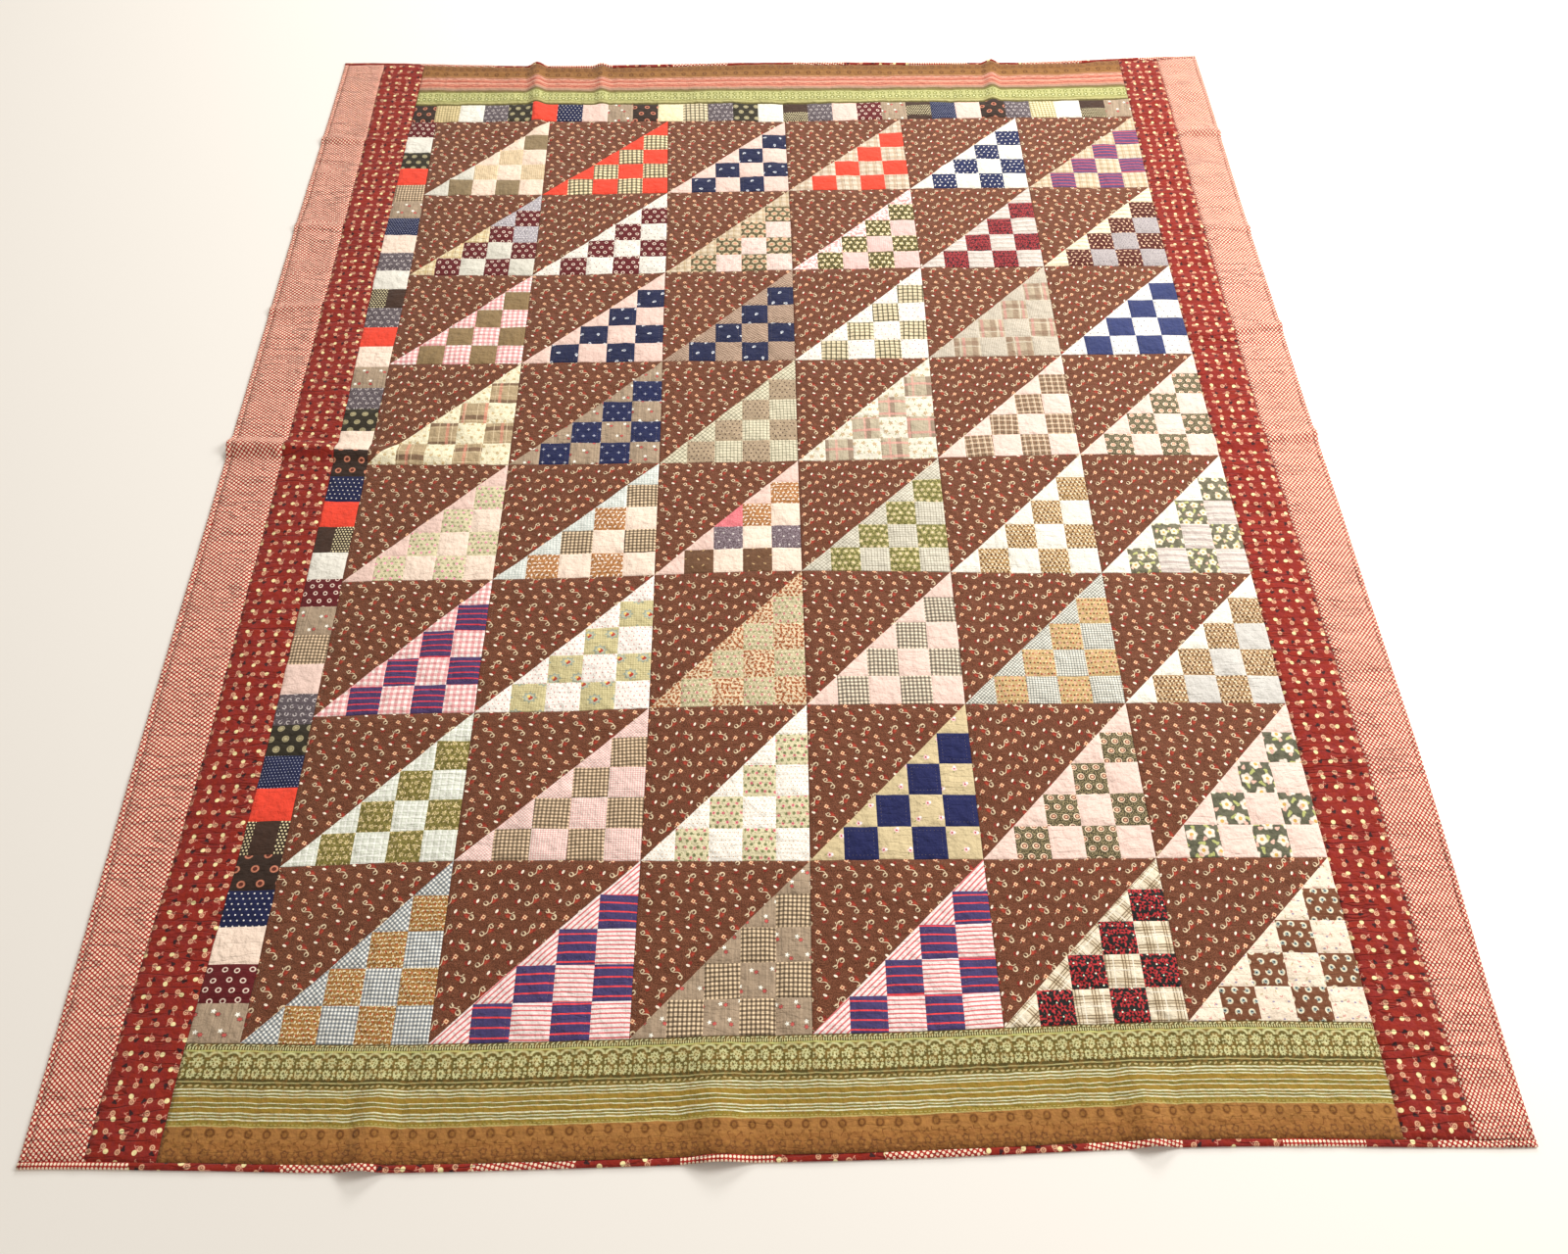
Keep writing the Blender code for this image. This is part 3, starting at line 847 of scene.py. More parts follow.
def fork(at, angle):
    """A short stem that parts in two."""
    return (
        curl(FORK, 7.5, 0.4, 1.1, at, angle, 0.6),
        curl(FORK, 4.5, 0.2, 1.0, (at[0] + 1.8, at[1] + 0.2), angle + 70, 0.6),
    )


def ringed_seed(at):
    """A round seed with a darker ring inside it."""
    return spot(SEED_RING, (3.4, 3.1), at), spot(SEED_EYE, 1.8, at, 0, 0.5)


# Both side-border cloths take creases=1.5: a deeper crease bump and more painted shade along the creases
cloth(
    "red_print",
    "#8a1f10",
    blotches(14, "#832020", 0.5, 0.6),
    blotches(2.2, "#942c18", 0.5, 0.4),
    motif(
        SEED_REPEAT,
        *fork((1.2, 3.2), 62),
        *ringed_seed((3.3, -1.5)),
        spot(SEED, (3.1, 2.8), (-3.2, 0.2), 20),
        scatter=3.6,
        turn=180,
    ),
    motif(
        SEED_REPEAT,
        *fork((1.8, 2.7), 40),
        spot(LEAF, (4.0, 2.6), (3.2, -2.3), 25, 0, 3, 0.35),
        *ringed_seed((-3.0, 0.6)),
        scatter=3.6,
        turn=180,
        at=(19.5, 0),
    ),
    creases=1.5,
)
cloth("dotted_print", "#a92920", motif((4.9, 4.9), spot("#fce5ca", 1.72), shift=0.0), creases=1.5)
print("the borders use", ", ".join(list(CLOTHS)[1:]))

# %% [markdown]
# ## The striped border print
#
# The top and bottom borders were cut from one striped furnishing print in two colourings. Across
# it run lace, thin pale lines and a bronze band, so one ramp of flat colours gives the bands from the
# inner seam outwards. Along it run the repeats: arches cut from wide rings, rosettes with small holes,
# and the rings and curls of the bronze band.


# %% Striped borders
BANDS_REACH, BANDS_WOBBLE = 140.0, 2.4  # mm, more than the border's width, and how far they stray


def banded(bands):
    """Flat bands across the cloth: each band is where it starts, in millimetres, and its colour."""

    def ink(t, place, before):
        _, out = t.split(place)
        ramp = t.node("ShaderNodeValToRGB")
        ramp.color_ramp.interpolation = "CONSTANT"
        stops = ramp.color_ramp.elements
        for k, (start, colour) in enumerate(bands):
            stop = stops[k] if k < 2 else stops.new(start / BANDS_REACH)
            stop.position = start / BANDS_REACH
            stop.color = dye(colour)
        wobble = t.maths("SUBTRACT", t.noise(place, 0.05, 2.0), 0.5)
        wobble = t.maths("MULTIPLY", wobble, BANDS_WOBBLE)
        t.join(t.maths("DIVIDE", t.maths("ADD", out, wobble), BANDS_REACH), ramp.inputs[0])
        return ramp.outputs[0]

    return ink


def row_of(pitch, out, height, *strokes, scatter=0.0, turn=0):
    """Strokes repeated in one line along the cloth, at a distance out from the inner seam."""
    at = (0, height / 2 - out)
    return motif((pitch, height), *strokes, shift=0, scatter=scatter, turn=turn, at=at, one_row=True)


def rosette(colour, size, hole, petals, eye, eye_size):
    """A lobed ring round an eye."""
    return spot(colour, size, (0, 0), 0, hole, petals, 0.35), spot(eye, eye_size)


OLIVE_DARK, OLIVE_GROUND, LACE, MINT, OCHRE = "#524619", "#675a26", "#c6c490", "#dcdcbc", "#94792a"
OLIVE_LINE, BRONZE, BRONZE_DARK = "#80732f", "#a06e38", "#6a3f19"
BRONZE_RINGS = (21.4, 102, 13)  # mm from ring to ring, out from the seam, and the row's height


def pale_lines(starts, between):
    """Thin pale lines, with the band that follows each of them."""
    found = []
    for start, colour in zip(starts, between):
        found += [(start, MINT), (start + 1.4, colour)]
    return found


cloth(
    "lace_print_olive",
    OLIVE_GROUND,
    banded(
        [(0, OLIVE_DARK), (8.2, "#b4b46c"), (10.2, OLIVE_GROUND), (41, OLIVE_DARK)]
        + [(44, "#a39d6a"), (45.4, OLIVE_DARK), (48, OLIVE_GROUND), (51.5, OLIVE_LINE)]
        + pale_lines((53, 56.6, 60.2), (OLIVE_LINE, OLIVE_LINE, OCHRE))
        + pale_lines((67.4, 72.2), (OLIVE_LINE, OCHRE))
        + pale_lines((79.2, 82.8, 86.4), (OLIVE_LINE, OLIVE_LINE, "#8d7a2c"))
        + [(93.5, "#b8a868"), (95, BRONZE), (112, "#976430"), (124, "#8d5b2b")]
    ),
    row_of(6, 2.2, 4, spot("#bcb98a", (2.2, 0.9), (0, 0), 20), scatter=0.8, turn=30),
    row_of(3.0, 5.8, 4.6, spot("#c6c490", (0.8, 2.2))),
    row_of(17, 13.2, 7, spot(LACE, (8.8, 7.0), (0, 3.6), 0, 0.72)),
    row_of(
        17,
        22,
        14,
        spot(LACE, 6.4, (0, 0), 0, 0, 9, 0.24),
        spot(LACE, (1.7, 3.6), (0, 5.0)),
        spot(OLIVE_LINE, 0.9, (-2, 1.6)),
        spot(OLIVE_LINE, 1.0, (1.8, 0.8)),
        spot(LACE, 1.7, (8, 4.4)),
        spot(OLIVE_LINE, 0.9, (0, -2.2)),
        spot("#deddac", 1.2, (-0.4, 3.6)),
        spot(LACE, 1.3, (7.6, 0.4)),
    ),
    row_of(
        17,
        35.2,
        13.5,
        spot(LACE, 5.9, (4.6, 0.2), 0, 0, 10, 0.24),
        spot(OLIVE_DARK, 1.5, (5, -0.8), 0, 0.4),
        spot(LACE, 2.0, (-4.4, -3.6)),
        spot(LACE, 2.0, (-4.8, 1.2)),
        spot(LACE, 1.6, (-3.4, 4.6)),
    ),
    row_of(3.7, 20.4, 3.8, spot(OLIVE_LINE, (0.9, 0.7)), scatter=1.2),
    row_of(4.3, 24.6, 4.0, spot(OLIVE_GROUND, (0.8, 1.0)), scatter=1.4),
    row_of(3.9, 33.0, 3.8, spot(OLIVE_LINE, (0.7, 1.0)), scatter=1.4),
    row_of(4.5, 37.2, 4.2, spot(OLIVE_GROUND, (0.9, 0.7)), scatter=1.4),
    row_of(7, 49.8, 3.4, spot("#b8ac78", (2.4, 1.1), (0, 0), 15), scatter=1, turn=30),
    row_of(5, 92, 3, spot("#b3a562", (1.8, 0.6))),
    row_of(*BRONZE_RINGS, spot("#7c4f1e", (5.2, 5.6), hollow=0.66), spot("#8d5e2a", (2.9, 3.2)), scatter=1),
    row_of(*BRONZE_RINGS, spot(BRONZE_DARK, (4.0, 4.3), hollow=0.74), scatter=1),
    row_of(12, 113.5, 11, curl("#78491c", 11, 2.4, 1.3), spot("#7c4f20", 1.8, (3, 3)), scatter=3, turn=180),
    row_of(15, 123, 12, spot("#744822", (5.0, 5.4), (0, 0), 0, 0.6, 5, 0.3), scatter=3, turn=90),
    row_of(11, 131, 9, curl("#6f4520", 11, 2.4, 1.5), spot("#a4723c", 1.6, (3, -2)), scatter=3, turn=180),
    blotches(7, "#b3813f", 0.35, 0.2),
)
cloth(
    "lace_print_rose",
    "#aeaa72",
    banded(
        [(0, "#7e7546"), (3.5, "#b3ae74"), (9, "#8f8d4e"), (11, "#b9b87c"), (37, "#7f7a40")]
        + [(41, "#75633a"), (46, "#a98570"), (53, "#c98a72"), (57, "#a44f3e"), (59.5, "#c98069")]
        + [(66, "#d39c86"), (71, "#aa5341"), (74, "#c77d66"), (79, "#d09984"), (84, "#8d5238")]
        + [(86, "#c08a66"), (88.5, "#8f6232"), (108, "#84582c")]
    ),
    row_of(13, 18, 14, *rosette("#7d7f3e", 5.8, 0.55, 6, "#dbdaa6", 1.9), scatter=2, turn=60),
    row_of(13, 30, 13, *rosette("#83853f", 5.2, 0.5, 5, "#cfcf98", 1.7), scatter=2, turn=60),
    row_of(48, 63, 9, curl("#a9503f", 50, 2.0, 1.5, (0, 0), 0, 2.0)),
    row_of(58, 79, 9, curl("#a9503f", 60, 2.2, 1.4, (0, 0), 0, 3.0)),
    row_of(21, 99, 14, spot("#6f4520", (4.6, 5.2), (0, 0), 0, 0.5), scatter=2),
    row_of(15, 117, 16, spot("#6f4520", (5, 6.5), (0, 0), 0, 0.55, 5, 0.35), scatter=3),
)
print("made both colourings of the striped print")

# %% [markdown]
# ## Plain cloths
#
# Some patches are plain. What keeps them from looking like paint is the slub of the threads and the
# crinkles of the finish, which the shared group gives.

# %% Plain cloths
PLAIN_CLOTHS = {
    "white": "#e6e3d8",
    "milk": "#e8e6da",
    "peach": "#f4decc",
    "pale_peach": "#f1d9c5",
    "pale_pink": "#e9cabe",
    "blush": "#edd0c4",
    "coral": "#ea4630",
    "grey_white": "#d8d5c8",
    "blue_white": "#ccc9c3",
    "pale_yellow": "#f3e6bc",
}
for name, ground in PLAIN_CLOTHS.items():
    cloth(name, ground)
cloth("hot_pink", "#e2727c", blotches(2, "#ee9498", 0.4, 0.6))
cloth("taupe", "#8c7859", slub=0.4)
cloth("olive_taupe", "#8d7551", slub=0.4)
cloth("royal_navy", "#313a68", slub=0.3)
cloth("navy", "#1c2152", slub=0.3)
cloth("dark_brown", "#3f2a1f", slub=0.2)
print(len(CLOTHS), "cloths so far")

# %% [markdown]
# ## Checks, plaids and stripes
#
# Woven checks show their second colour at half strength where one thread system crosses the ground,
# and at full strength where both cross. Two sets of stripes at part strength do just that.

# %% Checks and plaids
cloth("beige_check", "#ecd8b6", check(3.8, "#c2a67c", 0.4, 0.6))
cloth("green_check", "#fbe6b8", check(8.4, "#423f27", 0.42, 0.78), slub=0.1)
cloth("tan_plaid", "#ddcfbb", check(15, "#b49675", 0.32, 0.5), check(15, "#836144", 0.09, 0.5, 4))
cloth("yellow_plaid", "#d9c9b0", check(13, "#a68959", 0.28, 0.45), check(13, "#7d613d", 0.08, 0.5, 3.5))
cloth("cream_plaid", "#eaddb8", check(14, "#c2a468", 0.3, 0.45), check(14, "#9b7350", 0.09, 0.6, 4.4))
cloth("pink_gingham", "#fdf4ee", check(9.2, "#d8606c", 0.5, 0.5))
cloth("pink_check", "#f3eee3", check(3.1, "#dd8d8e", 0.5, 0.5))
cloth("pink_line_check", "#e5c8c2", check(3.4, "#d5a19a", 0.3, 0.5))
cloth(
    "houndstooth",
    "#cfb79f",
    stripes(3.6, 1.8, "#532e27", 62, strength=0.8),
    stripes(3.6, 1.3, "#805949", -28, strength=0.5),
)
cloth("dot_check", "#e2d3b0", check(8.6, "#6a623e", 0.36, 0.45), check(8.6, "#353221", 0.2, 0.8, 0.6))
cloth(
    "beige_plaid",
    "#bcad94",
    check(33, "#876652", 0.28, 0.55, 6),
    stripes(33, 5, "#cd8a85", 0, 20, 0.7),
    check(33, "#dcd5c2", 0.05, 0.8, 14),
    check(2.6, "#937e68", 0.4, 0.25),
    slub=0.2,
)
cloth(
    "taupe_plaid",
    "#bda783",
    stripes(42, 9, "#634132", 90, 8, 0.8),
    stripes(36, 5, "#e99481", 0, 17, 0.7),
    check(21, "#ffebc5", 0.06, 0.6, 5),
    check(2.6, "#8f7758", 0.4, 0.3),
    slub=0.3,
)
cloth(
    "pink_plaid",
    "#c1b59c",
    stripes(40, 9, "#745447", 0, 2, 0.65),
    stripes(28, 5, "#e79f96", 90, 9, 0.7),
    stripes(34, 4, "#eaa79c", 0, 24, 0.6),
    check(2.6, "#93836d", 0.4, 0.3),
    slub=0.3,
)
cloth(
    "brown_plaid",
    "#c4aa8a",
    check(10.5, "#77553c", 0.42, 0.6),
    check(10.5, "#3b231d", 0.12, 0.8, 3.2),
    check(10.5, "#ead6c0", 0.1, 0.7, 7.2),
)
cloth("beige_hatch", "#cfc7b8", check(3.0, "#8f7c61", 0.24, 0.6))
cloth("windowpane_green", "#ddd5ba", check(6.0, "#474b2d", 0.17, 0.75))
cloth("fine_windowpane", "#d9d4c3", check(4.6, "#756b54", 0.16, 0.65), check(9.2, "#665b44", 0.06, 0.6, 2))
cloth("dark_windowpane", "#e6e4d8", check(4.0, "#464e49", 0.29, 0.74))
cloth("olive_line_check", "#eee2b8", check(6.4, "#857538", 0.36, 0.62), slub=0.1)
cloth("straw_check", "#ead8a6", check(5.6, "#645634", 0.28, 0.6), check(2.8, "#b19b62", 0.3, 0.4), slub=0.1)
cloth("double_windowpane", "#dfe3d6", check(9, "#fbfcf6", 0.16, 0.85), check(9, "#b4bba8", 0.07, 0.7, 2.6))
cloth("blue_check", "#e7eae4", check(4.4, "#a3b2ac", 0.3, 0.5))
cloth("brown_gingham", "#edd3af", check(5.8, "#3d2a18", 0.46, 0.74))
cloth("olive_gingham", "#f0d3b0", check(5.2, "#473621", 0.5, 0.7))
cloth("black_gingham", "#f8e7cd", check(6.0, "#40372f", 0.5, 0.68))
cloth("blue_gingham", "#fffff7", check(4.7, "#415060", 0.5, 0.66))
cloth(
    "brown_line_plaid",
    "#e9ddc4",
    check(25, "#bfa67d", 0.3, 0.45, 5),
    check(25, "#5a432c", 0.045, 0.85, 3),
    check(25, "#5a432c", 0.045, 0.85, 6.5),
    check(25, "#7b5f3f", 0.05, 0.75, 11),
    check(25, "#f8f1e2", 0.06, 0.7, 16),
)
print(len(CLOTHS), "cloths so far")

# %% [markdown]
# ## Striped cloths
#
# Stripes run level here, as in most of the squares. The pale cloths have a wide soft stripe beside a
# narrow darker one, and the purple ones a thin red line at full strength.

# %% Stripes
cloth("cream_stripe", "#ece0c4", stripes(11, 3.4, "#bda987", 90, strength=0.6))
for name, ground, pitch, (wide, soft, strong), (narrow, dark, off) in (
    ("grey_stripe", "#dcd3cc", 12, (4.5, "#a69584", 0.55), (1.4, "#877465", 4.5)),
    ("lilac_stripe", "#dbd3ca", 12.5, (5.0, "#b19e99", 0.65), (1.2, "#94847d", 5)),
):
    both = stripes(pitch, wide, soft, 90, 0, strong), stripes(pitch, narrow, dark, 90, off, 0.4)
    cloth(name, ground, *both)
cloth("plum_stripe", "#463c6b", stripes(11.8, 1.9, "#f14548", 90), slub=0.3)
cloth("plum_wide_stripe", "#4a3865", stripes(9.6, 2.0, "#da3b49", 90), slub=0.3)
cloth("red_pin_stripe", "#f4e7e4", stripes(5.7, 2.0, "#da5157", 90, 0, 0.88))
cloth("purple_stripe", "#5d4670", stripes(9.2, 2.4, "#bf4c59", 90), slub=0.3)
cloth("checker_dots", "#33231b", motif(4.6, spot("#e9dcae", 1.35), shift=0.5))
print(len(CLOTHS), "cloths so far")

# %% [markdown]
# ## Dots and rings
#
# Pin dots, larger spots and little rings were the commonest shirting prints. Each is one motif in a
# staggered lattice, with a slight stray for the rings.


# %% Dots and rings
def ring(colour, size, hole, eye=None, at=(0, 0)):
    """A ring, and an eye inside it if it has one."""
    found = [spot(colour, size, at, 0, hole)]
    if eye:
        found.append(spot(eye, (size if isinstance(size, float) else size[1]) * hole * 0.75, at))
    return found


NAVY_GROUND, CHALK = "#1e2752", "#f1eee6"
cloth("maroon_rings", "#5f151a", motif((14.5, 12.5), *ring("#f6e2d0", (3.2, 3.4), 0.68), scatter=3, turn=30))
cloth(
    "navy_spots",
    "#1b2144",
    motif(
        (25, 24),
        spot("#c3c9d4", (2.9, 2.5), (0.6, 0.4), 30, 0.4),
        spot("#e8e8e6", (1.5, 1.2), (-1.6, -1.6)),
        scatter=6,
        turn=60,
    ),
)
cloth("navy_pins", "#1b2146", motif(4.4, spot("#a9aec0", 0.75)))
cloth("navy_dots", "#161c44", motif(7.4, spot(CHALK, 1.0)))
cloth(
    "big_dots",
    "#2f291c",
    motif((20, 17), spot("#b0a680", 4.9), spot("#8b8160", 3.6, (0, 0), 0, 0.7), scatter=1.5),
)
cloth(
    "orange_rings",
    "#33231a",
    motif((23, 20), spot("#5e2a1e", 3.4), *ring("#cf8468", (4.9, 4.9), 0.66), scatter=2),
)
cloth(
    "olive_rings",
    "#443f2a",
    blotches(2.2, "#968760", 0.42, 0.75),
    motif(
        (16, 14),
        spot("#cb9173", 3.6),
        *ring("#d4be9b", (6.0, 5.2), 0.64),
        spot("#2a2416", 1.4, (7.4, -3)),
        turn=25,
    ),
)
cloth(
    "dark_olive_rings",
    "#3c3827",
    blotches(1.5, "#a79a77", 0.44, 0.8),
    motif(
        (15, 13),
        spot("#272417", (5.4, 4.7)),
        spot("#f7dcc0", (4.5, 3.9)),
        spot("#ab654e", (2.9, 2.5), (0.3, 0), hollow=0.5),
        spot("#f2c2a4", 1.5, (0.3, 0)),
        scatter=2.5,
    ),
)
cloth("speckled_white", "#eae6dc", flecks(10.5, "#9d5c65", 0.95, turn=0))
cloth("dotted_white", "#f6f0e9", motif(7.4, spot("#dd9a92", (0.85, 1.3)), scatter=1.4))
cloth("dark_dotted_white", "#dfdcd8", motif(12, spot("#534051", 0.95), scatter=1.5))
cloth("yellow_dotted_white", "#f7f3ea", motif(5.6, spot("#dfaf7c", 0.75)))
cloth(
    "gold_dots",
    "#c5a775",
    motif((9.5, 8.5), spot("#4a3b20", 1.4), spot("#ecd8ad", 1.1, (3.4, 2.6)), scatter=1.5),
    motif((9.5, 8.5), spot("#a33e2d", 1.4), scatter=1.5, at=(5, 0.5)),
    motif(13, spot("#d3a487", 2.2), scatter=4, at=(4, 6)),
)
print(len(CLOTHS), "cloths so far")

# %% [markdown]
# ## Little flowers and leaves
#
# The rest are calico: a ground scattered with blossoms, leaves or seeds. A blossom is one lobed spot
# with a smaller spot for its eye, and a sprig is two long thin spots at an angle. Dense prints add a
# second lattice or a blotched ground.


# %% Sprigs on dark grounds
def sprig(colour, length, at=(0, 0), angle=0):
    """Two small leaves set across each other."""
    return (
        spot(colour, (length / 2, length / 5), at, angle),
        spot(colour, (length / 3.4, length / 6), (at[0] + length * 0.24, at[1] + length * 0.24), angle + 70),
    )


cloth("navy_sprigs", NAVY_GROUND, motif(9.8, *sprig(CHALK, 4.6, (-0.8, -0.6), 40), scatter=2, turn=60))
cloth("navy_motifs", "#1b224c", motif((17, 14.5), spot("#b9bccb", 2.6, (0, 0), 0, 0, 4, 0.8), scatter=1.5))
maroon_leaves = sprig("#f3cdaa", 5.4, (-0.8, -0.6), 35)
cloth("maroon_sprigs", "#542219", motif((9.6, 8.8), *maroon_leaves, scatter=2, turn=90))
cloth(
    "olive_flowers",
    "#5a522a",
    motif((12.5, 11.5), *blossom("#ffecc4", 4.2, "#c9ac6b", petals=4, cut=0.5), scatter=2, turn=60),
    flecks(9, "#9f9156", 1.4, (5, 5), turn=0),
)
cloth(
    "red_floral",
    "#281921",
    blotches(4.5, "#852429", 0.62),
    motif(9.5, *blossom("#af373b", 4.2, "#3d242d"), scatter=3, turn=80),
    flecks(7, "#15121a", (1.8, 1.0), (3, 3), turn=90),
)
cloth(
    "black_floral",
    "#1d1b1b",
    motif(12, *blossom("#b32a2f", 5.4, "#241416", cut=0.6), scatter=4, turn=90),
    flecks(9, "#c23a3f", (3.0, 1.2), (5, 4), scatter=4),
    motif(16, spot("#e6ffe4", 1.1), scatter=5),
)
cloth(
    "crescents",
    "#74472e",
    motif(
        (16.5, 14),
        spot("#e9dfc2", (4.6, 4.3), (0, 0), 0, 0.66),
        spot("#74472e", (2.9, 2.3), (-3.0, -2.4)),
        spot("#9fb0aa", 2.5, (0.3, 0.3), 0, 0.45),
        spot("#2b2a34", 1.2, (0.6, 0.2)),
        scatter=2,
        turn=120,
    ),
)
cloth("tan_sprigs", "#6b4a32", motif((18, 15), *sprig("#c8a878", 4.6, angle=30), scatter=4, turn=90))
cloth(
    "grape_print",
    "#64525a",
    blotches(2.4, "#9d8f96", 0.42, 0.8),
    motif(15, spot("#e4dcd8", 2.0, lobes=4, depth=0.5), scatter=4),
)
cloth(
    "grey_print",
    "#5c5257",
    motif(11.5, spot("#c9c0be", 3.0, (0, 0), 0, 0.62), spot("#5c5257", 1.6, (2.2, 0)), scatter=2, turn=150),
    motif(7, spot("#8d8286", 0.9), scatter=2, at=(4, 4)),
)
print(len(CLOTHS), "cloths so far")

# %% [markdown]
# ## Prints on green, sage and brown grounds
#
# The middling grounds carry close motifs in two or three tones, so that from a distance they read as
# one soft colour. Two pairs of them are one print in two colourings or two sizes.

# %% Flowers on middling grounds
cloth(
    "leafy_green",
    "#807b41",
    blotches(3.4, "#56562b", 0.42, 0.7),
    motif(11, *blossom("#c7bb8a", 4.2, "#f1d7ba", petals=7), scatter=3, turn=90),
    flecks(8, "#b1a86d", (2.4, 1.0), (4, 4)),
)
cloth(
    "olive_leaves",
    "#6e6630",
    blotches(3, "#948847", 0.5, 0.7),
    motif(11.5, *blossom("#d4c08b", 3.6, "#958949", petals=6, cut=0.5), scatter=3, turn=90),
    flecks(7.5, "#e4cfa2", (1.9, 0.8), (4, 4)),
)
SAGE_DARK = "#767c4c"
cloth(
    "sage_pink",
    "#d9cfaa",
    motif(8.2, spot(SAGE_DARK, (2.3, 2.1), (0, 0), 0, 0.45, 5, 0.3), scatter=2, turn=60),
    motif(13, *blossom("#ffb0c7", 2.6, "#e46a88"), scatter=3, at=(5, 6)),
    flecks(6.4, "#cac49e", (1.5, 0.6), (3, 3)),
)
cloth(
    "sage_rosettes",
    "#c5ba95",
    motif(8.6, spot(SAGE_DARK, (2.4, 2.2), (0, 0), 0, 0.5, 6, 0.3), scatter=1.5, turn=60),
    motif(12, *blossom("#db908e", 2.7, "#9e5155", petals=6), scatter=2, at=(4, 6)),
    flecks(6, "#f1e6c8", (1.5, 0.7), (3, 3), scatter=2),
)
cloth(
    "sage_dark_floral",
    "#d9d0ab",
    motif(9.5, *ring("#7d8355", (2.3, 2.3), 0.45, "#555b3b"), scatter=2),
    motif(13, *blossom("#e87d8a", 2.6, "#a34958"), scatter=3, at=(5, 6)),
    flecks(6.6, "#a3a474", (1.5, 0.7), (3, 3)),
)
cloth(
    "rust_print",
    "#b07847",
    motif(7.6, spot("#f9ecdf", (2.6, 1.2), angle=35), spot("#854f2b", 1.2, (2.2, -1.6)), scatter=2, turn=60),
    flecks(6.4, "#e4c39b", (1.3, 0.8), (3, 3), scatter=2, turn=90),
)
for name, ground, dark, pale, blot in (
    ("gold_print", "#a58251", "#5f3b22", "#eee2c5", "#c4a37b"),
    ("tan_print", "#9d7b52", "#5b3a24", "#ecdcbc", "#bd9a76"),
):
    marks = spot(dark, (2.3, 1.4), (0, 0), 40), spot(pale, 1.25, (2.2, 1.8))
    cloth(
        name,
        ground,
        motif((6.6, 6.0), *marks, scatter=0.8, turn=40),
        motif((6.6, 6.0), spot(pale, (1.9, 0.9), angle=50), scatter=0.8, turn=60, at=(3.3, 0.4)),
        motif(9, spot(blot, 1.9), scatter=2, at=(2, 5)),
    )
cloth(
    "gold_mottle",
    "#a17138",
    motif(
        (6.4, 5.6),
        spot("#e8debb", (2.0, 1.0), (0, 0), 35),
        spot("#6e421f", 1.1, (2.2, -1.4)),
        scatter=1.5,
        turn=60,
    ),
    motif((6.4, 5.6), spot("#dbc48e", (1.5, 0.7), (0, 0), -45), scatter=1.5, turn=60, at=(3.2, 1.0)),
    motif(9, spot("#b75732", 1.2), scatter=2, at=(2, 5)),
)
cloth(
    "wreath_check",
    "#d7cb9c",
    check(3.4, "#a79f6a", 0.35, 0.45),
    motif(
        (32, 27),
        spot("#929e91", (9.8, 8.8), (0, 0), 0, 0.42, 8, 0.3),
        spot("#bdc1a8", (7.0, 6.4), (0, 0), 0, 0.6, 8, 0.2),
        spot("#b94230", (3.4, 4.0), (1.0, -0.6), 0, 0, 3, 0.3),
        spot("#f5d175", 2.1, (-1.4, 1.4)),
    ),
)
cloth(
    "green_paisley",
    "#3c3522",
    blotches(1.6, "#a79870", 0.46, 0.8),
    motif(
        (16, 14),
        spot("#2c2618", (6.0, 5.2)),
        spot("#ffe6c3", (4.9, 4.3)),
        spot("#7d4034", (3.6, 3.1), (0.4, 0), 0, 0.58),
        spot("#f7c09a", 1.6, (0.4, 0)),
        scatter=1.5,
    ),
)
cloth(
    "green_flowers",
    "#75705c",
    blotches(9, "#5e5d47", 0.4, 0.6),
    motif(16, *sprig("#b9bb78", 8.6, angle=50), scatter=5, turn=120, at=(8, 8)),
    motif((20, 17), *blossom("#efe3c8", 6.2, "#d8ae5c", cut=0.2), scatter=4, turn=80),
    motif(18, spot("#e8c0aa", (3.2, 2.2), (0, 0), 0, 0, 3, 0.3), scatter=6, turn=140, at=(12, 5)),
)
cloth(
    "big_flowers",
    "#646350",
    blotches(9, "#505140", 0.4, 0.6),
    motif(19, *sprig("#b4b873", 10, angle=50), scatter=5, turn=120, at=(9, 9)),
    motif((26, 22), *blossom("#f0e1d2", 8.0, "#d9b05e", cut=0.2), scatter=5, turn=80),
    motif(22, spot("#e9bdab", (4.2, 2.8), (0, 0), 0, 0, 3, 0.3), scatter=6, turn=140, at=(14, 5)),
)
print(len(CLOTHS), "cloths so far")

# %% [markdown]
# ## Prints on pale grounds
#
# The pale grounds were shirtings: thin sprigs set far apart, in inks that have faded close to the
# ground. The taupe ones are woven with a coarse slub, which the finish lays over their motifs.

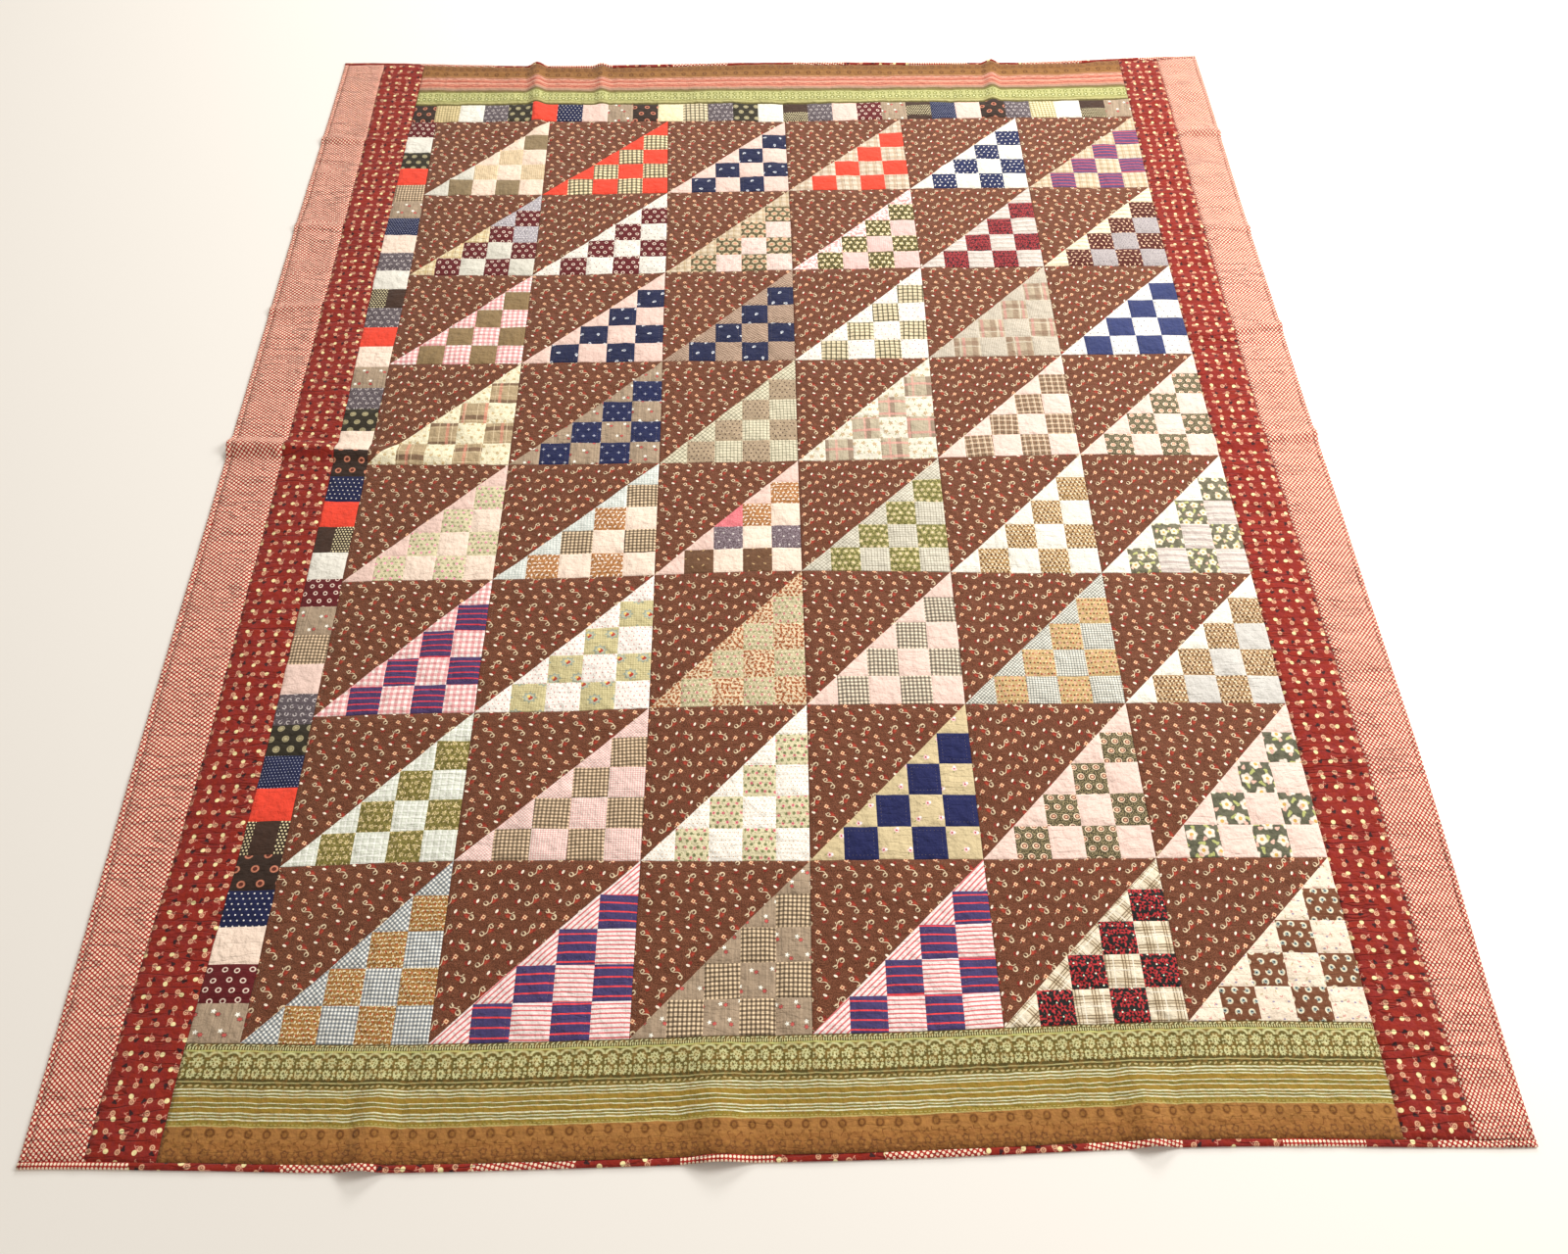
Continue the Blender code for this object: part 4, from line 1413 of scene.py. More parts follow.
# %% Flowers on pale grounds
cloth(
    "lilac_print",
    "#b9b3b8",
    flecks(5.4, "#847f8a", (1.7, 0.9), scatter=2),
    motif(7, spot("#e6e3e4", 1.2), scatter=2.5, at=(3, 2)),
)
cloth(
    "lilac_mottle",
    "#afa7a7",
    flecks(4.8, "#847c82", (1.3, 0.7), scatter=2),
    flecks(9, "#726a72", 0.9, (3, 2), turn=0),
)
cloth("pink_print", "#e9d8ce", blotches(7, "#dda9a1", 0.34, 0.4), check(3.6, "#d8afa5", 0.3, 0.3))
cloth(
    "rust_sprigs_cream",
    "#e3d0ad",
    motif(
        (7.8, 7.2),
        curl("#a4592f", 7, 1.4, 1.0),
        spot("#a0552c", (2.8, 1.6), (1.2, 1.2), 40),
        scatter=1,
        turn=180,
    ),
    motif((7.8, 7.2), spot("#9d5430", (2.7, 1.5), (-1.0, -1.2), -30), scatter=1, turn=180, at=(3.9, 2)),
    motif(5.6, spot("#c79a70", 1.0), scatter=2, at=(2, 4)),
)
cloth("pink_blotch", "#f8e9e2", blotches(6, "#e88f90", 0.4, 0.8))
cloth(
    "yellow_floral",
    "#f1e9ca",
    motif(15, spot("#c6a974", 3.2, (0, 0), 0, 0.3, 5, 0.5), scatter=4, turn=60),
    flecks(11, "#d9c596", (2.2, 0.8), (5, 5), scatter=4),
)
cloth(
    "tan_floral",
    "#e4ddcc",
    motif(17, spot("#c2a780", 4.4, (0, 0), 0, 0.25, 5, 0.5), scatter=4, turn=60),
    flecks(13, "#afb184", (2.6, 0.9), (6, 6), scatter=4),
)
cloth(
    "khaki_flowers",
    "#d1bf96",
    motif(
        (31, 26),
        *blossom("#f1cacb", 4.0, "#bc3440", (0, 0)),
        spot("#fbf4f5", 1.8, (2.4, 2.0)),
        spot("#8d9460", (2.0, 0.7), (-4.4, -2.6), 35),
        scatter=7,
        turn=60,
    ),
)
cloth(
    "cream_flowers",
    "#f0e0cc",
    motif(17, *sprig("#d9a399", 4.6), scatter=5, turn=90),
    motif(19, spot("#9990a9", (1.7, 1.1)), scatter=6, at=(8, 7)),
    flecks(21, "#c7b68f", (2.4, 0.8), (3, 12), scatter=6),
)
cloth(
    "red_sprigs_taupe",
    "#a7927b",
    motif(
        (26, 23),
        spot("#432f2b", (3.5, 3.2), (2.0, -2.2), 0, 0, 6, 0.35),
        spot("#c65953", (2.8, 2.5), (2.0, -2.2), 0, 0, 6, 0.3),
        spot("#fffef2", 2.9, (-2.8, 2.4), 0, 0, 5, 0.5),
        scatter=6,
        turn=50,
    ),
    slub=0.9,
)
cloth(
    "taupe_motifs",
    "#ab967c",
    motif((8, 7.4), spot("#46352c", (1.7, 1.1), angle=30), scatter=2, turn=90),
    motif(9.4, spot("#cbb99c", 0.9), scatter=2, at=(4, 4)),
    slub=0.3,
)
print(len(CLOTHS), "cloths in all")

# %% [markdown]
# ## A pad of cloth
#
# Every sewn piece is a closed pad: a fine grid on top, a coarser one below, and a rim between. It
# could be a sheet with thickness added, but building both sides by hand lets the top have four
# times the faces of the side that nobody sees. The top is thin at each seam, full between seams, and
# dips along the quilting line a few millimetres inside each seam.

# %% Thickness of the quilt
SEAM_THICKNESS, FULL_THICKNESS, LEAST_THICKNESS = 3.0, 4.9, 0.9  # mm
PUFF_REACH = 10.0  # mm from a seam to full thickness
DRAWN_HEIGHT, DRAWN_REACH = 0.45, 9  # mm: the short puckers where a seam drew up its edges
QUILT_INSET, QUILT_DEPTH, QUILT_WIDTH = 6.0, 0.7, 1.4  # mm: the line of quilting inside each seam


def thickness(seam_distance, x, y, groove=QUILT_DEPTH):
    """How thick the pad is, in metres, at a distance in millimetres from the nearest seam."""
    rise = np.clip(seam_distance / PUFF_REACH, 0, 1)
    full = SEAM_THICKNESS + (FULL_THICKNESS - SEAM_THICKNESS) * (1 - (1 - rise) ** 2)
    dip = groove * np.exp(-(((seam_distance - QUILT_INSET) / QUILT_WIDTH) ** 2))
    drawn = noise(x / (DRAWN_REACH * MM), y / (DRAWN_REACH * MM), 91)
    drawn = DRAWN_HEIGHT * drawn * np.exp(-seam_distance / DRAWN_REACH)
    whole = full - dip + drawn + rumples(x, y) + border_puckers(x, y)
    return np.clip(whole, LEAST_THICKNESS, None) * MM


def eased_steps(low, high, shares):
    """Places from low to high, at shares of the way from each end to the middle."""
    half = np.array(shares) / 2
    steps = np.concatenate([half, [0.5], 1 - half[::-1]])
    return low + (high - low) * steps


PATCH_SHARES = (0.0, 0.045, 0.14, 0.263, 0.42, 0.68)  # closer together near a seam


def patch_stations(edges):
    """Places between sewn lines, closer together beside each line."""
    found = [eased_steps(low, high, PATCH_SHARES)[:-1] for low, high in zip(edges, edges[1:])]
    return np.append(np.concatenate(found), edges[-1])


print(len(patch_stations([0, PATCH])) - 1, "cells across a patch")

# %% [markdown]
# ## The mesh of a pad
#
# Places on the grid are sewn places. They are moved to where the cloth lies, then raised by the folds
# and the thickness. The print has its own map, in metres on the cloth, with a small shift and turn
# for each patch because each was cut from another part of its cloth. A second map lays the top out
# for baking, in rows where a border is long.


# %% A pad
BAKE_EDGE, BAKE_WIDTH, BAKE_RIM_WIDTH = 0.004, 0.992, 0.99  # shares of the bake map
BAKE_TOP, BAKE_TOP_HEIGHT, BAKE_UNDER_HEIGHT = 0.06, 0.935, 0.03
BAKE_RIM_LOW, BAKE_RIM_HIGH = 0.040, 0.052


def turned_places(places, turns, middles):
    """Sewn places turned about the middle of their patch."""
    x, y = (places - middles).T
    cos, sin = np.cos(turns), np.sin(turns)
    return np.column_stack([x * cos - y * sin, x * sin + y * cos])


def pad(name, xs, ys, seam_distance, cut, bake_rows=1, groove=QUILT_DEPTH):
    """A closed pad over sewn stations. cut(column, row, half) gives a cell's cloth, its patch's middle,
    turn and shift; half is 0 for a whole cell, 1 above and 2 below the diagonal of one that is cut."""
    wide, high = len(xs), len(ys)
    grid_x, grid_y = [a.ravel() for a in np.meshgrid(xs, ys)]
    inset_x = np.clip(grid_x, xs[0] + SEAM_GAP, xs[-1] - SEAM_GAP)
    inset_y = np.clip(grid_y, ys[0] + SEAM_GAP, ys[-1] - SEAM_GAP)
    flat_x, flat_y = lie(inset_x, inset_y)
    low = lift(grid_x, grid_y)
    top = low + thickness(seam_distance(grid_x, grid_y), grid_x, grid_y, groove)

    def at(i, j):
        return j * wide + i

    # The coarse grid below uses every second station
    below = {}
    for j in range(0, high, 2):
        for i in range(0, wide, 2):
            below[at(i, j)] = len(grid_x) + len(below)
    under = np.array(list(below))
    points = np.column_stack([flat_x, flat_y, top])
    points = np.concatenate([points, np.column_stack([flat_x, flat_y, low])[under]])
    sewn = np.column_stack([inset_x, inset_y])
    cells = []
    long_way = ys if ys[-1] - ys[0] > xs[-1] - xs[0] else xs

    def bake_place(i, j):
        """A corner's shares of the way along and across the pad."""
        x_share = (xs[i] - xs[0]) / (xs[-1] - xs[0])
        y_share = (ys[j] - ys[0]) / (ys[-1] - ys[0])
        return (y_share, x_share) if long_way is ys else (x_share, y_share)

    def bake_top(i, j, row):
        along, across = bake_place(i, j)
        across = (row + 0.02 + 0.96 * across) / bake_rows
        return BAKE_EDGE + BAKE_WIDTH * (along * bake_rows - row), BAKE_TOP + BAKE_TOP_HEIGHT * across

    def bake_under(i, j):
        along, across = bake_place(i, j)
        return BAKE_EDGE + BAKE_WIDTH * along, BAKE_EDGE + BAKE_UNDER_HEIGHT * across

    per_row = (len(long_way) - 1) / bake_rows
    for j in range(high - 1):
        for i in range(wide - 1):
            corners = [(i, j), (i + 1, j), (i + 1, j + 1), (i, j + 1)]
            row = int((j if long_way is ys else i) // per_row)
            split = cut(i, j, 1) != cut(i, j, 2)
            halves = (((0, 2, 3), 1), ((0, 1, 2), 2)) if split else (((0, 1, 2, 3), 0),)
            for picks, half in halves:
                chosen = [corners[k] for k in picks]
                places = [bake_top(*c, row) for c in chosen]
                cells.append(([at(*c) for c in chosen], cut(i, j, half), places))
    for j in range(0, high - 1, 2):
        for i in range(0, wide - 1, 2):
            corners = [(i, j + 2), (i + 2, j + 2), (i + 2, j), (i, j)]
            places = [bake_under(*c) for c in corners]
            cells.append(([below[at(*c)] for c in corners], cut(i, j, 2), places))
    rim = [(i, 0) for i in range(0, wide, 2)]
    rim += [(wide - 1, j) for j in range(2, high, 2)]
    rim += [(i, high - 1) for i in range(wide - 3, -1, -2)]
    rim += [(0, j) for j in range(high - 3, 0, -2)]
    for k, (a, b) in enumerate(zip(rim, rim[1:] + rim[:1])):
        between = ((a[0] + b[0]) // 2, (a[1] + b[1]) // 2)
        inside = (min(between[0], wide - 2), min(between[1], high - 2))
        corners = [below[at(*a)], below[at(*b)], at(*a), at(*between), at(*b)]
        places = [BAKE_EDGE + BAKE_RIM_WIDTH * (k + part) / len(rim) for part in (0, 1, 0, 0.5, 1)]
        places = list(zip(places, (BAKE_RIM_LOW,) * 2 + (BAKE_RIM_HIGH,) * 3))
        for picks in ((0, 1, 3), (0, 3, 2), (1, 4, 3)):
            face = [corners[pick] for pick in picks]
            cells.append((face, cut(*inside, 2), [places[pick] for pick in picks]))
    return finish_pad(name, points, np.concatenate([sewn, sewn[under]]), cells)


def finish_pad(name, points, sewn, cells):
    """The object of a pad. Each cell has its corners, its cloth and its place on the bake map."""
    faces, looks, bake = zip(*cells)
    mesh = bpy.data.meshes.new(name)
    mesh.from_pydata(points.tolist(), [], faces)
    names = sorted({look[0] for look in looks})
    for cloth_name in names:
        mesh.materials.append(CLOTHS[cloth_name])
    mesh.polygons.foreach_set("material_index", [names.index(look[0]) for look in looks])
    corners = np.concatenate([np.array(face) for face in faces])
    owner = np.repeat(np.arange(len(faces)), [len(face) for face in faces])
    middles, turns, shifts = [np.array([look[k] for look in looks])[owner] for k in (1, 2, 3)]
    places = turned_places(sewn[corners], turns, middles) + shifts
    mesh.uv_layers.new(name=PRINT_MAP).data.foreach_set("uv", places.ravel())
    flat = [number for face in bake for corner in face for number in corner]
    mesh.uv_layers.new(name="OFBake").data.foreach_set("uv", flat)
    mesh.shade_smooth()
    mesh.update()
    return placed(name, mesh)


PIECES = []


def declare(piece, node, slot, flat):
    """Attaches a piece to the root, hides the solid that it stands for, and keeps how big its cloth is.
    The slot is not used.
    """
    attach(piece, "root")
    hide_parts(node)
    PIECES.append((piece, flat))


print("pads are ready to be cut")

# %% [markdown]
# ## The blocks
#
# Each block has a dark and a light cloth in a stair of squares, a brown triangle above, and a row of
# small light triangles along the slope. The table gives the two cloths of every block, and a third
# where the small triangles differ. Where the maker ran out of a cloth, a few patches differ, and they
# are listed one by one, by row and place from the block's top left.

# %% The cloths of the blocks
BLOCK_CLOTHS = (
    # one row of blocks to an entry, from the top left of the quilt
    "taupe pale_peach pale_peach, green_check coral, navy_spots pale_pink, coral tan_plaid, "
    "navy_sprigs white, purple_stripe yellow_plaid",
    "maroon_rings grey_white cream_plaid, maroon_rings speckled_white, "
    "olive_rings pink_print yellow_plaid, olive_flowers pink_line_check pink_blotch, "
    "red_floral grey_stripe, maroon_sprigs lilac_mottle cream_stripe",
    "olive_taupe pink_gingham, navy_spots pale_pink, navy_spots houndstooth, dot_check speckled_white, "
    "beige_plaid beige_hatch, royal_navy dark_dotted_white",
    "taupe_plaid yellow_floral, navy_motifs red_sprigs_taupe, taupe_motifs windowpane_green, "
    "pink_plaid tan_floral, brown_plaid blush, dark_olive_rings blush",
    "sage_pink peach pale_pink, rust_print peach blue_check, rust_print peach pale_pink, "
    "leafy_green fine_windowpane, gold_print white, green_flowers lilac_stripe milk",
    "plum_wide_stripe pink_gingham, wreath_check dotted_white, sage_rosettes rust_sprigs_cream, "
    "black_gingham blush, gold_dots dark_windowpane, tan_print blue_white milk",
    "olive_leaves double_windowpane, olive_gingham pink_check, sage_dark_floral yellow_dotted_white, "
    "navy khaki_flowers, green_paisley blush, big_flowers blush",
    "gold_mottle blue_gingham, plum_stripe red_pin_stripe, brown_gingham red_sprigs_taupe, "
    "plum_stripe red_pin_stripe, black_floral brown_line_plaid, crescents cream_flowers",
)
BLOCK_CLOTHS = [row.split(", ") for row in BLOCK_CLOTHS]
ODD_PATCHES = {
    # block row and column, then patch row and place of each patch of a cloth
    (1, 1): {"beige_check": ((2, 3), (3, 2), (3, 4)), "grey_white": ((3, 1), (4, 0))},
    (2, 1): {"lilac_print": ((0, 4), (1, 3), (2, 4))},
    (5, 2): {"brown_gingham": ((3, 2), (3, 4), (1, 4))},
    (5, 3): {"tan_sprigs": ((4, 1), (4, 3)), "grape_print": ((3, 2), (3, 4)), "hot_pink": ((2, 2),)},
}
print(sum(len(row) for row in BLOCK_CLOTHS), "blocks in the table")

# %% [markdown]
# ## Cutting and laying the blocks
#
# A cell of the grid asks which cloth it is cut from. The answer counts squares down and along from
# the block's top left: above the stair is the brown triangle, on its slope the small triangles, and
# below it the two cloths take turns. Each patch is turned and shifted by a fixed chance.

# %% Cut and lay the blocks
BROWN_UPRIGHT = (
    # 1 where the brown cloth was cut a quarter turn round
    (0, 0, 0, 0, 1, 1),
    (0, 1, 0, 0, 1, 0),
    (0, 0, 0, 1, 0, 1),
    (1, 0, 0, 0, 1, 1),
    (0, 1, 0, 1, 0, 1),
    (0, 0, 1, 0, 1, 0),
    (0, 0, 1, 0, 1, 0),
    (0, 1, 0, 0, 1, 1),
)
CELLS = 2 * len(PATCH_SHARES)  # cells across a patch
TRIANGLE_TURN = math.radians(45)  # small triangles of these stripes and checks lie on the bias
BIAS_CLOTHS = (
    "red_pin_stripe",
    "brown_line_plaid",
    "pink_check",
    "blue_gingham",
    "windowpane_green",
    "dark_windowpane",
    "fine_windowpane",
)
BROWN_STRAY, PATCH_STRAY, SQUARE_STRAY = 2.5, math.radians(1.2), math.radians(1.5)
BROWN_SHIFT = (13 * MM, 19 * MM)  # to the next row and column of blocks
SCRAP_REACH = 0.3  # m of cloth that a patch may come from

chance = np.random.default_rng(5)
brown_strays = chance.normal(0, BROWN_STRAY, (ROWS, COLUMNS))  # degrees
patch_turns = chance.normal(0, PATCH_STRAY, (ROWS, COLUMNS, PATCHES, PATCHES))
patch_shifts = chance.uniform(0, SCRAP_REACH, (ROWS, COLUMNS, PATCHES, PATCHES, 2))


def block_seams(left, bottom):
    """A function for the distance in millimetres from a block's nearest seam."""

    def distance(x, y):
        u, v = (x - left) / PATCH, (y - bottom) / PATCH
        to_line_u, to_line_v = np.abs(u - np.round(u)), np.abs(v - np.round(v))
        slope = np.abs(u - v) / math.sqrt(2)
        rim = np.minimum(np.minimum(u, PATCHES - u), np.minimum(v, PATCHES - v))
        stair = np.minimum(np.minimum(to_line_u, to_line_v), slope)
        return np.maximum(np.where(u > v, stair, np.minimum(rim, slope)), 0) * PATCH / MM

    return distance


def block_cut(row, column, left, bottom):
    """A function for the cloth of each cell of a block."""
    names = BLOCK_CLOTHS[row][column].split()
    odd = {}
    for cloth_name, places in ODD_PATCHES.get((row + 1, column + 1), {}).items():
        odd |= dict.fromkeys(places, cloth_name)
    middle = (left + BLOCK / 2, bottom + BLOCK / 2)
    turn = math.radians(90 * BROWN_UPRIGHT[row][column] + brown_strays[row, column])
    shift = (BROWN_SHIFT[0] * row, BROWN_SHIFT[1] * column)
    brown = ("brown_print", middle, turn, shift)

    def cut(i, j, half):
        if j > i or (i == j and half == 1):
            return brown
        down, along = PATCHES - 1 - j // CELLS, i // CELLS
        step = down + along - (PATCHES - 1)
        cloth_name = names[-1] if step == 0 else names[0] if step % 2 else names[1]
        cloth_name = odd.get((down, along), cloth_name)
        middle = (left + (along + 0.5) * PATCH, bottom + (PATCHES - down - 0.5) * PATCH)
        turn = patch_turns[row, column, down, along]
        if step == 0 and cloth_name in BIAS_CLOTHS:
            turn = turn - TRIANGLE_TURN
        return cloth_name, middle, turn, tuple(patch_shifts[row, column, down, along])

    return cut


def remembered(cut):
    """The same function with its answers kept, because each cell asks several times."""
    known = {}

    def quick_cut(*key):
        if key not in known:
            known[key] = cut(*key)
        return known[key]

    return quick_cut


for row in range(ROWS):
    for column in range(COLUMNS):
        left, bottom = FIELD_LEFT + column * BLOCK, FIELD_TOP - (row + 1) * BLOCK
        node = f"block_r{row + 1}_c{column + 1}"
        block = pad(
            f"{node}_cloth",
            patch_stations(left + PATCH * np.arange(PATCHES + 1)),
            patch_stations(bottom + PATCH * np.arange(PATCHES + 1)),
            block_seams(left, bottom),
            remembered(block_cut(row, column, left, bottom)),
        )
        declare(block, node, "block_cloth", (BLOCK, BLOCK))
print(len(PIECES), "blocks of", len(block.data.polygons), "faces")

# %% [markdown]
# ## The strips of little squares
#
# One strip runs down the left of the field and one along its top, pieced from leftovers. A few
# squares are themselves pieced from two or three bits, written here with a stroke between them.

# %% Strips of squares
LEFT_SQUARES = (
    "maroon_rings white big_dots coral olive_gingham red_sprigs_taupe navy_pins peach grey_print white "
    "checker_dots|dark_brown grey_print coral peach red_sprigs_taupe grey_print big_dots peach "
    "orange_rings navy_dots coral dark_brown|checker_dots white maroon_rings red_sprigs_taupe "
    "olive_gingham blush grey_print big_dots navy_pins coral checker_dots|dark_brown|checker_dots "
    "orange_rings navy_dots peach maroon_rings red_sprigs_taupe"
).split()
TOP_SQUARES = (
    "orange_rings straw_check white grey_print big_dots coral navy_dots pale_pink red_sprigs_taupe "
    "orange_rings pale_yellow dot_check grey_print big_dots white checker_dots|dark_brown grey_print "
    "pale_pink maroon_rings red_sprigs_taupe dark_brown|checker_dots|dark_brown navy_pins pale_pink "
    "orange_rings grey_print olive_line_check white checker_dots|dark_brown red_sprigs_taupe"
).split()


def lines_distance(lines_x, lines_y):
    """A function for the distance in millimetres from the nearest of some upright and level lines."""

    def distance(x, y):
        found = [np.abs(x - line) for line in lines_x] + [np.abs(y - line) for line in lines_y]
        return np.min(found, axis=0) / MM

    return distance


def squares_cut(names, upright, edges, middle_across, start):
    """A function for the cloth of each cell of a strip, where edges are the lines between squares."""
    dice = np.random.default_rng(start)
    turns = dice.normal(0, SQUARE_STRAY, len(names))
    shifts = dice.uniform(0, SCRAP_REACH, (len(names), 2))

    def cut(i, j, half):
        square = (j if upright else i) // CELLS
        bits = names[square].split("|")
        bit = bits[min((i if upright else j) * len(bits) // CELLS, len(bits) - 1)]
        middle_along = (edges[square] + edges[square + 1]) / 2
        middle = (middle_across, middle_along) if upright else (middle_along, middle_across)
        return bit, middle, turns[square], tuple(shifts[square])

    return remembered(cut)


def strip(node, names, upright, low, high, across):
    """A strip of squares between two ends, across from one line to another."""
    edges = np.linspace(low, high, len(names) + 1)
    along_stations, across_stations = patch_stations(edges), patch_stations(np.array(across))
    xs, ys = (across_stations, along_stations) if upright else (along_stations, across_stations)
    lines = (across, edges) if upright else (edges, across)
    piece = pad(
        f"{node}_cloth",
        xs,
        ys,
        lines_distance(*lines),
        squares_cut(names, upright, edges, sum(across) / 2, len(names)),
        bake_rows=6,
    )
    flat = (across[1] - across[0], high - low) if upright else (high - low, across[1] - across[0])
    declare(piece, node, "square_cloth", flat)


strip("squares_left", LEFT_SQUARES[::-1], True, FIELD_BOTTOM, FIELD_TOP, (STRIP_LEFT, FIELD_LEFT))
strip("squares_top", TOP_SQUARES, False, STRIP_LEFT, FIELD_RIGHT, (FIELD_TOP, STRIP_TOP))
print(len(LEFT_SQUARES), "squares down the side and", len(TOP_SQUARES), "along the top")

# %% [markdown]
# ## The borders
#
# The borders are long single lengths of cloth, so their print runs unbroken. The striped print's map
# starts at the inner seam and counts outwards, so that its lace lies next to the field on both
# borders. The six differ only in their cloth and their place, so a table and one function make them.

# %% Borders
BORDER_STEP, BORDER_STEP_ALONG = 6 * MM, 4.2 * MM
BORDER_GROOVE = 0.12  # mm, fainter than beside the small patches
DOTTED_TURNS = {"left": math.radians(36), "right": math.radians(43)}


def even_stations(low, high, step, rows=1):
    """Places a step apart, with an even count of cells in each bake row."""
    cells = 2 * rows * max(1, round((high - low) / step / 2 / rows))
    return np.linspace(low, high, cells + 1)


def border(node, cloth_name, slot, x_ends, y_ends, turn):
    """A border of one cloth, with its print counted out from the inner seam of a level border."""
    upright = x_ends[1] - x_ends[0] < y_ends[1] - y_ends[0]
    if upright:
        rows, middle = 8, (x_ends[0], 0.0)
        xs = even_stations(*x_ends, BORDER_STEP)
        ys = even_stations(*y_ends, BORDER_STEP_ALONG, rows)
    else:
        rows, middle = 4, (0.0, min(y_ends, key=abs))
        xs = even_stations(*x_ends, BORDER_STEP_ALONG, rows)
        ys = even_stations(*y_ends, BORDER_STEP)
    look = (cloth_name, middle, turn, (0.0, 0.0))
    seams = lines_distance(x_ends, y_ends)
    piece = pad(f"{node}_cloth", xs, ys, seams, lambda i, j, half: look, rows, BORDER_GROOVE)
    declare(piece, node, slot, (xs[-1] - xs[0], ys[-1] - ys[0]))


SIDE_ENDS, LEVEL_ENDS = (BORDER_BOTTOM, BORDER_TOP), (STRIP_LEFT, FIELD_RIGHT)
RED, DOTTED = ("red_print", "red_print"), ("dotted_print", "dotted_print")
BORDERS = (
    # solid, cloth and slot, ends from left to right and upwards, turn of the print
    ("border_red_left", RED, (RED_LEFT, STRIP_LEFT), SIDE_ENDS, 0.0),
    ("border_dotted_left", DOTTED, (DOTTED_LEFT, RED_LEFT), SIDE_ENDS, DOTTED_TURNS["left"]),
    ("border_red_right", RED, (FIELD_RIGHT, RED_RIGHT), SIDE_ENDS, 0.0),
    ("border_dotted_right", DOTTED, (RED_RIGHT, DOTTED_RIGHT), SIDE_ENDS, DOTTED_TURNS["right"]),
    (
        "border_striped_top",
        ("lace_print_rose", "lace_stripe_print"),
        LEVEL_ENDS,
        (STRIP_TOP, BORDER_TOP),
        0.0,
    ),
    (
        "border_striped_bottom",
        ("lace_print_olive", "lace_stripe_print"),
        LEVEL_ENDS,
        (BORDER_BOTTOM, FIELD_BOTTOM),
        math.pi,
    ),
)
for node, finish, x_ends, y_ends, turn in BORDERS:
    border(node, *finish, x_ends, y_ends, turn)
print(len(BORDERS), "borders, the side ones", round(BORDER_TOP - BORDER_BOTTOM, 2), "m long")

# %% [markdown]
# ## The binding
#
# A narrow strip is folded over the raw edge and sewn down. Along the top and the bottom it is pieced
# from lengths of the two border cloths. It is swept by hand as a rounded section along the edge,
# because the section has to meet the border on one side and roll under on the other.

# %% Binding
BINDING_SECTION = (
    # shares of the binding's width outwards and of its thickness upwards
    *((0, 0), (0.45, 0), (0.8, 0.0), (0.97, 0.2), (1, 0.45)),
    *((0.95, 0.7), (0.8, 0.87), (0.55, 0.94), (0.28, 0.88), (0, 0.72)),
)
BINDING_THICKNESS = 4.4 * MM
BINDING_LUMPS = 17  # mm from one lump to the next
BINDING_LEVEL, BINDING_SWELL = 0.92, 0.12  # shares of the thickness, and how it swells and sinks
BINDING_ROWS = 8  # on the bake map
BINDING_TURN = 0.3  # radians from the print of one length to that of the next
# Places in mm where one length of the binding is joined to the next
BOTTOM_LENGTHS = (0, 140, 305, 412, 520, 628, 752, 864, 986, 1104, 1222, 1335, 1455, 1549, 1637, 1790)
TOP_LENGTHS = (0, 160, 330, 440, 565, 690, 800, 930, 1040, 1170, 1290, 1400, 1520, 1640, 1790)
BINDING_STEP = 7 * MM


def binding(edge, ends, inner, outer, upright, lengths, first_red):
    """A folded strip along one edge, from its seam with the border out to the quilt's edge."""
    low, high = ends
    count = 2 * round((high - low) / BINDING_STEP / 2)
    along = np.linspace(low, high, count + 1)
    seam = inner + math.copysign(SEAM_GAP, outer - inner)
    sides = len(BINDING_SECTION)
    out, up = np.array(BINDING_SECTION).T
    along_all = np.repeat(along, sides)
    across_all = np.tile(seam + (outer - seam) * out, len(along))
    x, y = (across_all, along_all) if upright else (along_all, across_all)
    flat_x, flat_y = lie(x, y)
    raised = lift(x, y)
    plump = noise(x / (BINDING_LUMPS * MM), y / (BINDING_LUMPS * MM), 101)
    full = BINDING_THICKNESS * (BINDING_LEVEL + BINDING_SWELL * plump)
    points = np.column_stack([flat_x, flat_y, raised + np.tile(up, len(along)) * full])
    cells = []
    flip = upright != (outer > inner)
    names = ("red_print", "dotted_print")
    for k in range(count):
        place = ((along[k] + along[k + 1]) / 2 - low) / MM
        length = int(np.searchsorted(lengths, place)) - 1
        turn = DOTTED_TURNS[edge] if upright else BINDING_TURN * (length % 3)
        look = (names[(length + first_red) % 2], (0.0, 0.0), turn, (0.0, 0.0))
        for side in range(sides):
            a, b = k * sides + side, k * sides + (side + 1) % sides
            face = (a, a + sides, b + sides, b)
            row = BINDING_ROWS * k // count
            u0, u1 = [BINDING_ROWS * end / count - row for end in (k, k + 1)]
            v0, v1 = [(row + 0.95 * end / sides) / BINDING_ROWS for end in (side, side + 1)]
            places = ((u0, v0), (u1, v0), (u1, v1), (u0, v1))
            cells.append((face[::-1], look, places[::-1]) if flip else (face, look, places))
    count = len(points)
    end_places = [(0.99 + 0.004 * math.cos(k), 0.99 + 0.004 * math.sin(k)) for k in range(sides)]
    for end in (list(range(sides)), list(range(count - 1, count - sides - 1, -1))):
        cells.append((end[::-1] if flip else end, cells[0][1], end_places))
    piece = finish_pad(f"binding_{edge}_cloth", points, np.column_stack([x, y]), cells)
    flat = (BINDING, high - low) if upright else (high - low, BINDING)
    declare(piece, f"binding_{edge}", "binding_cloth", flat)


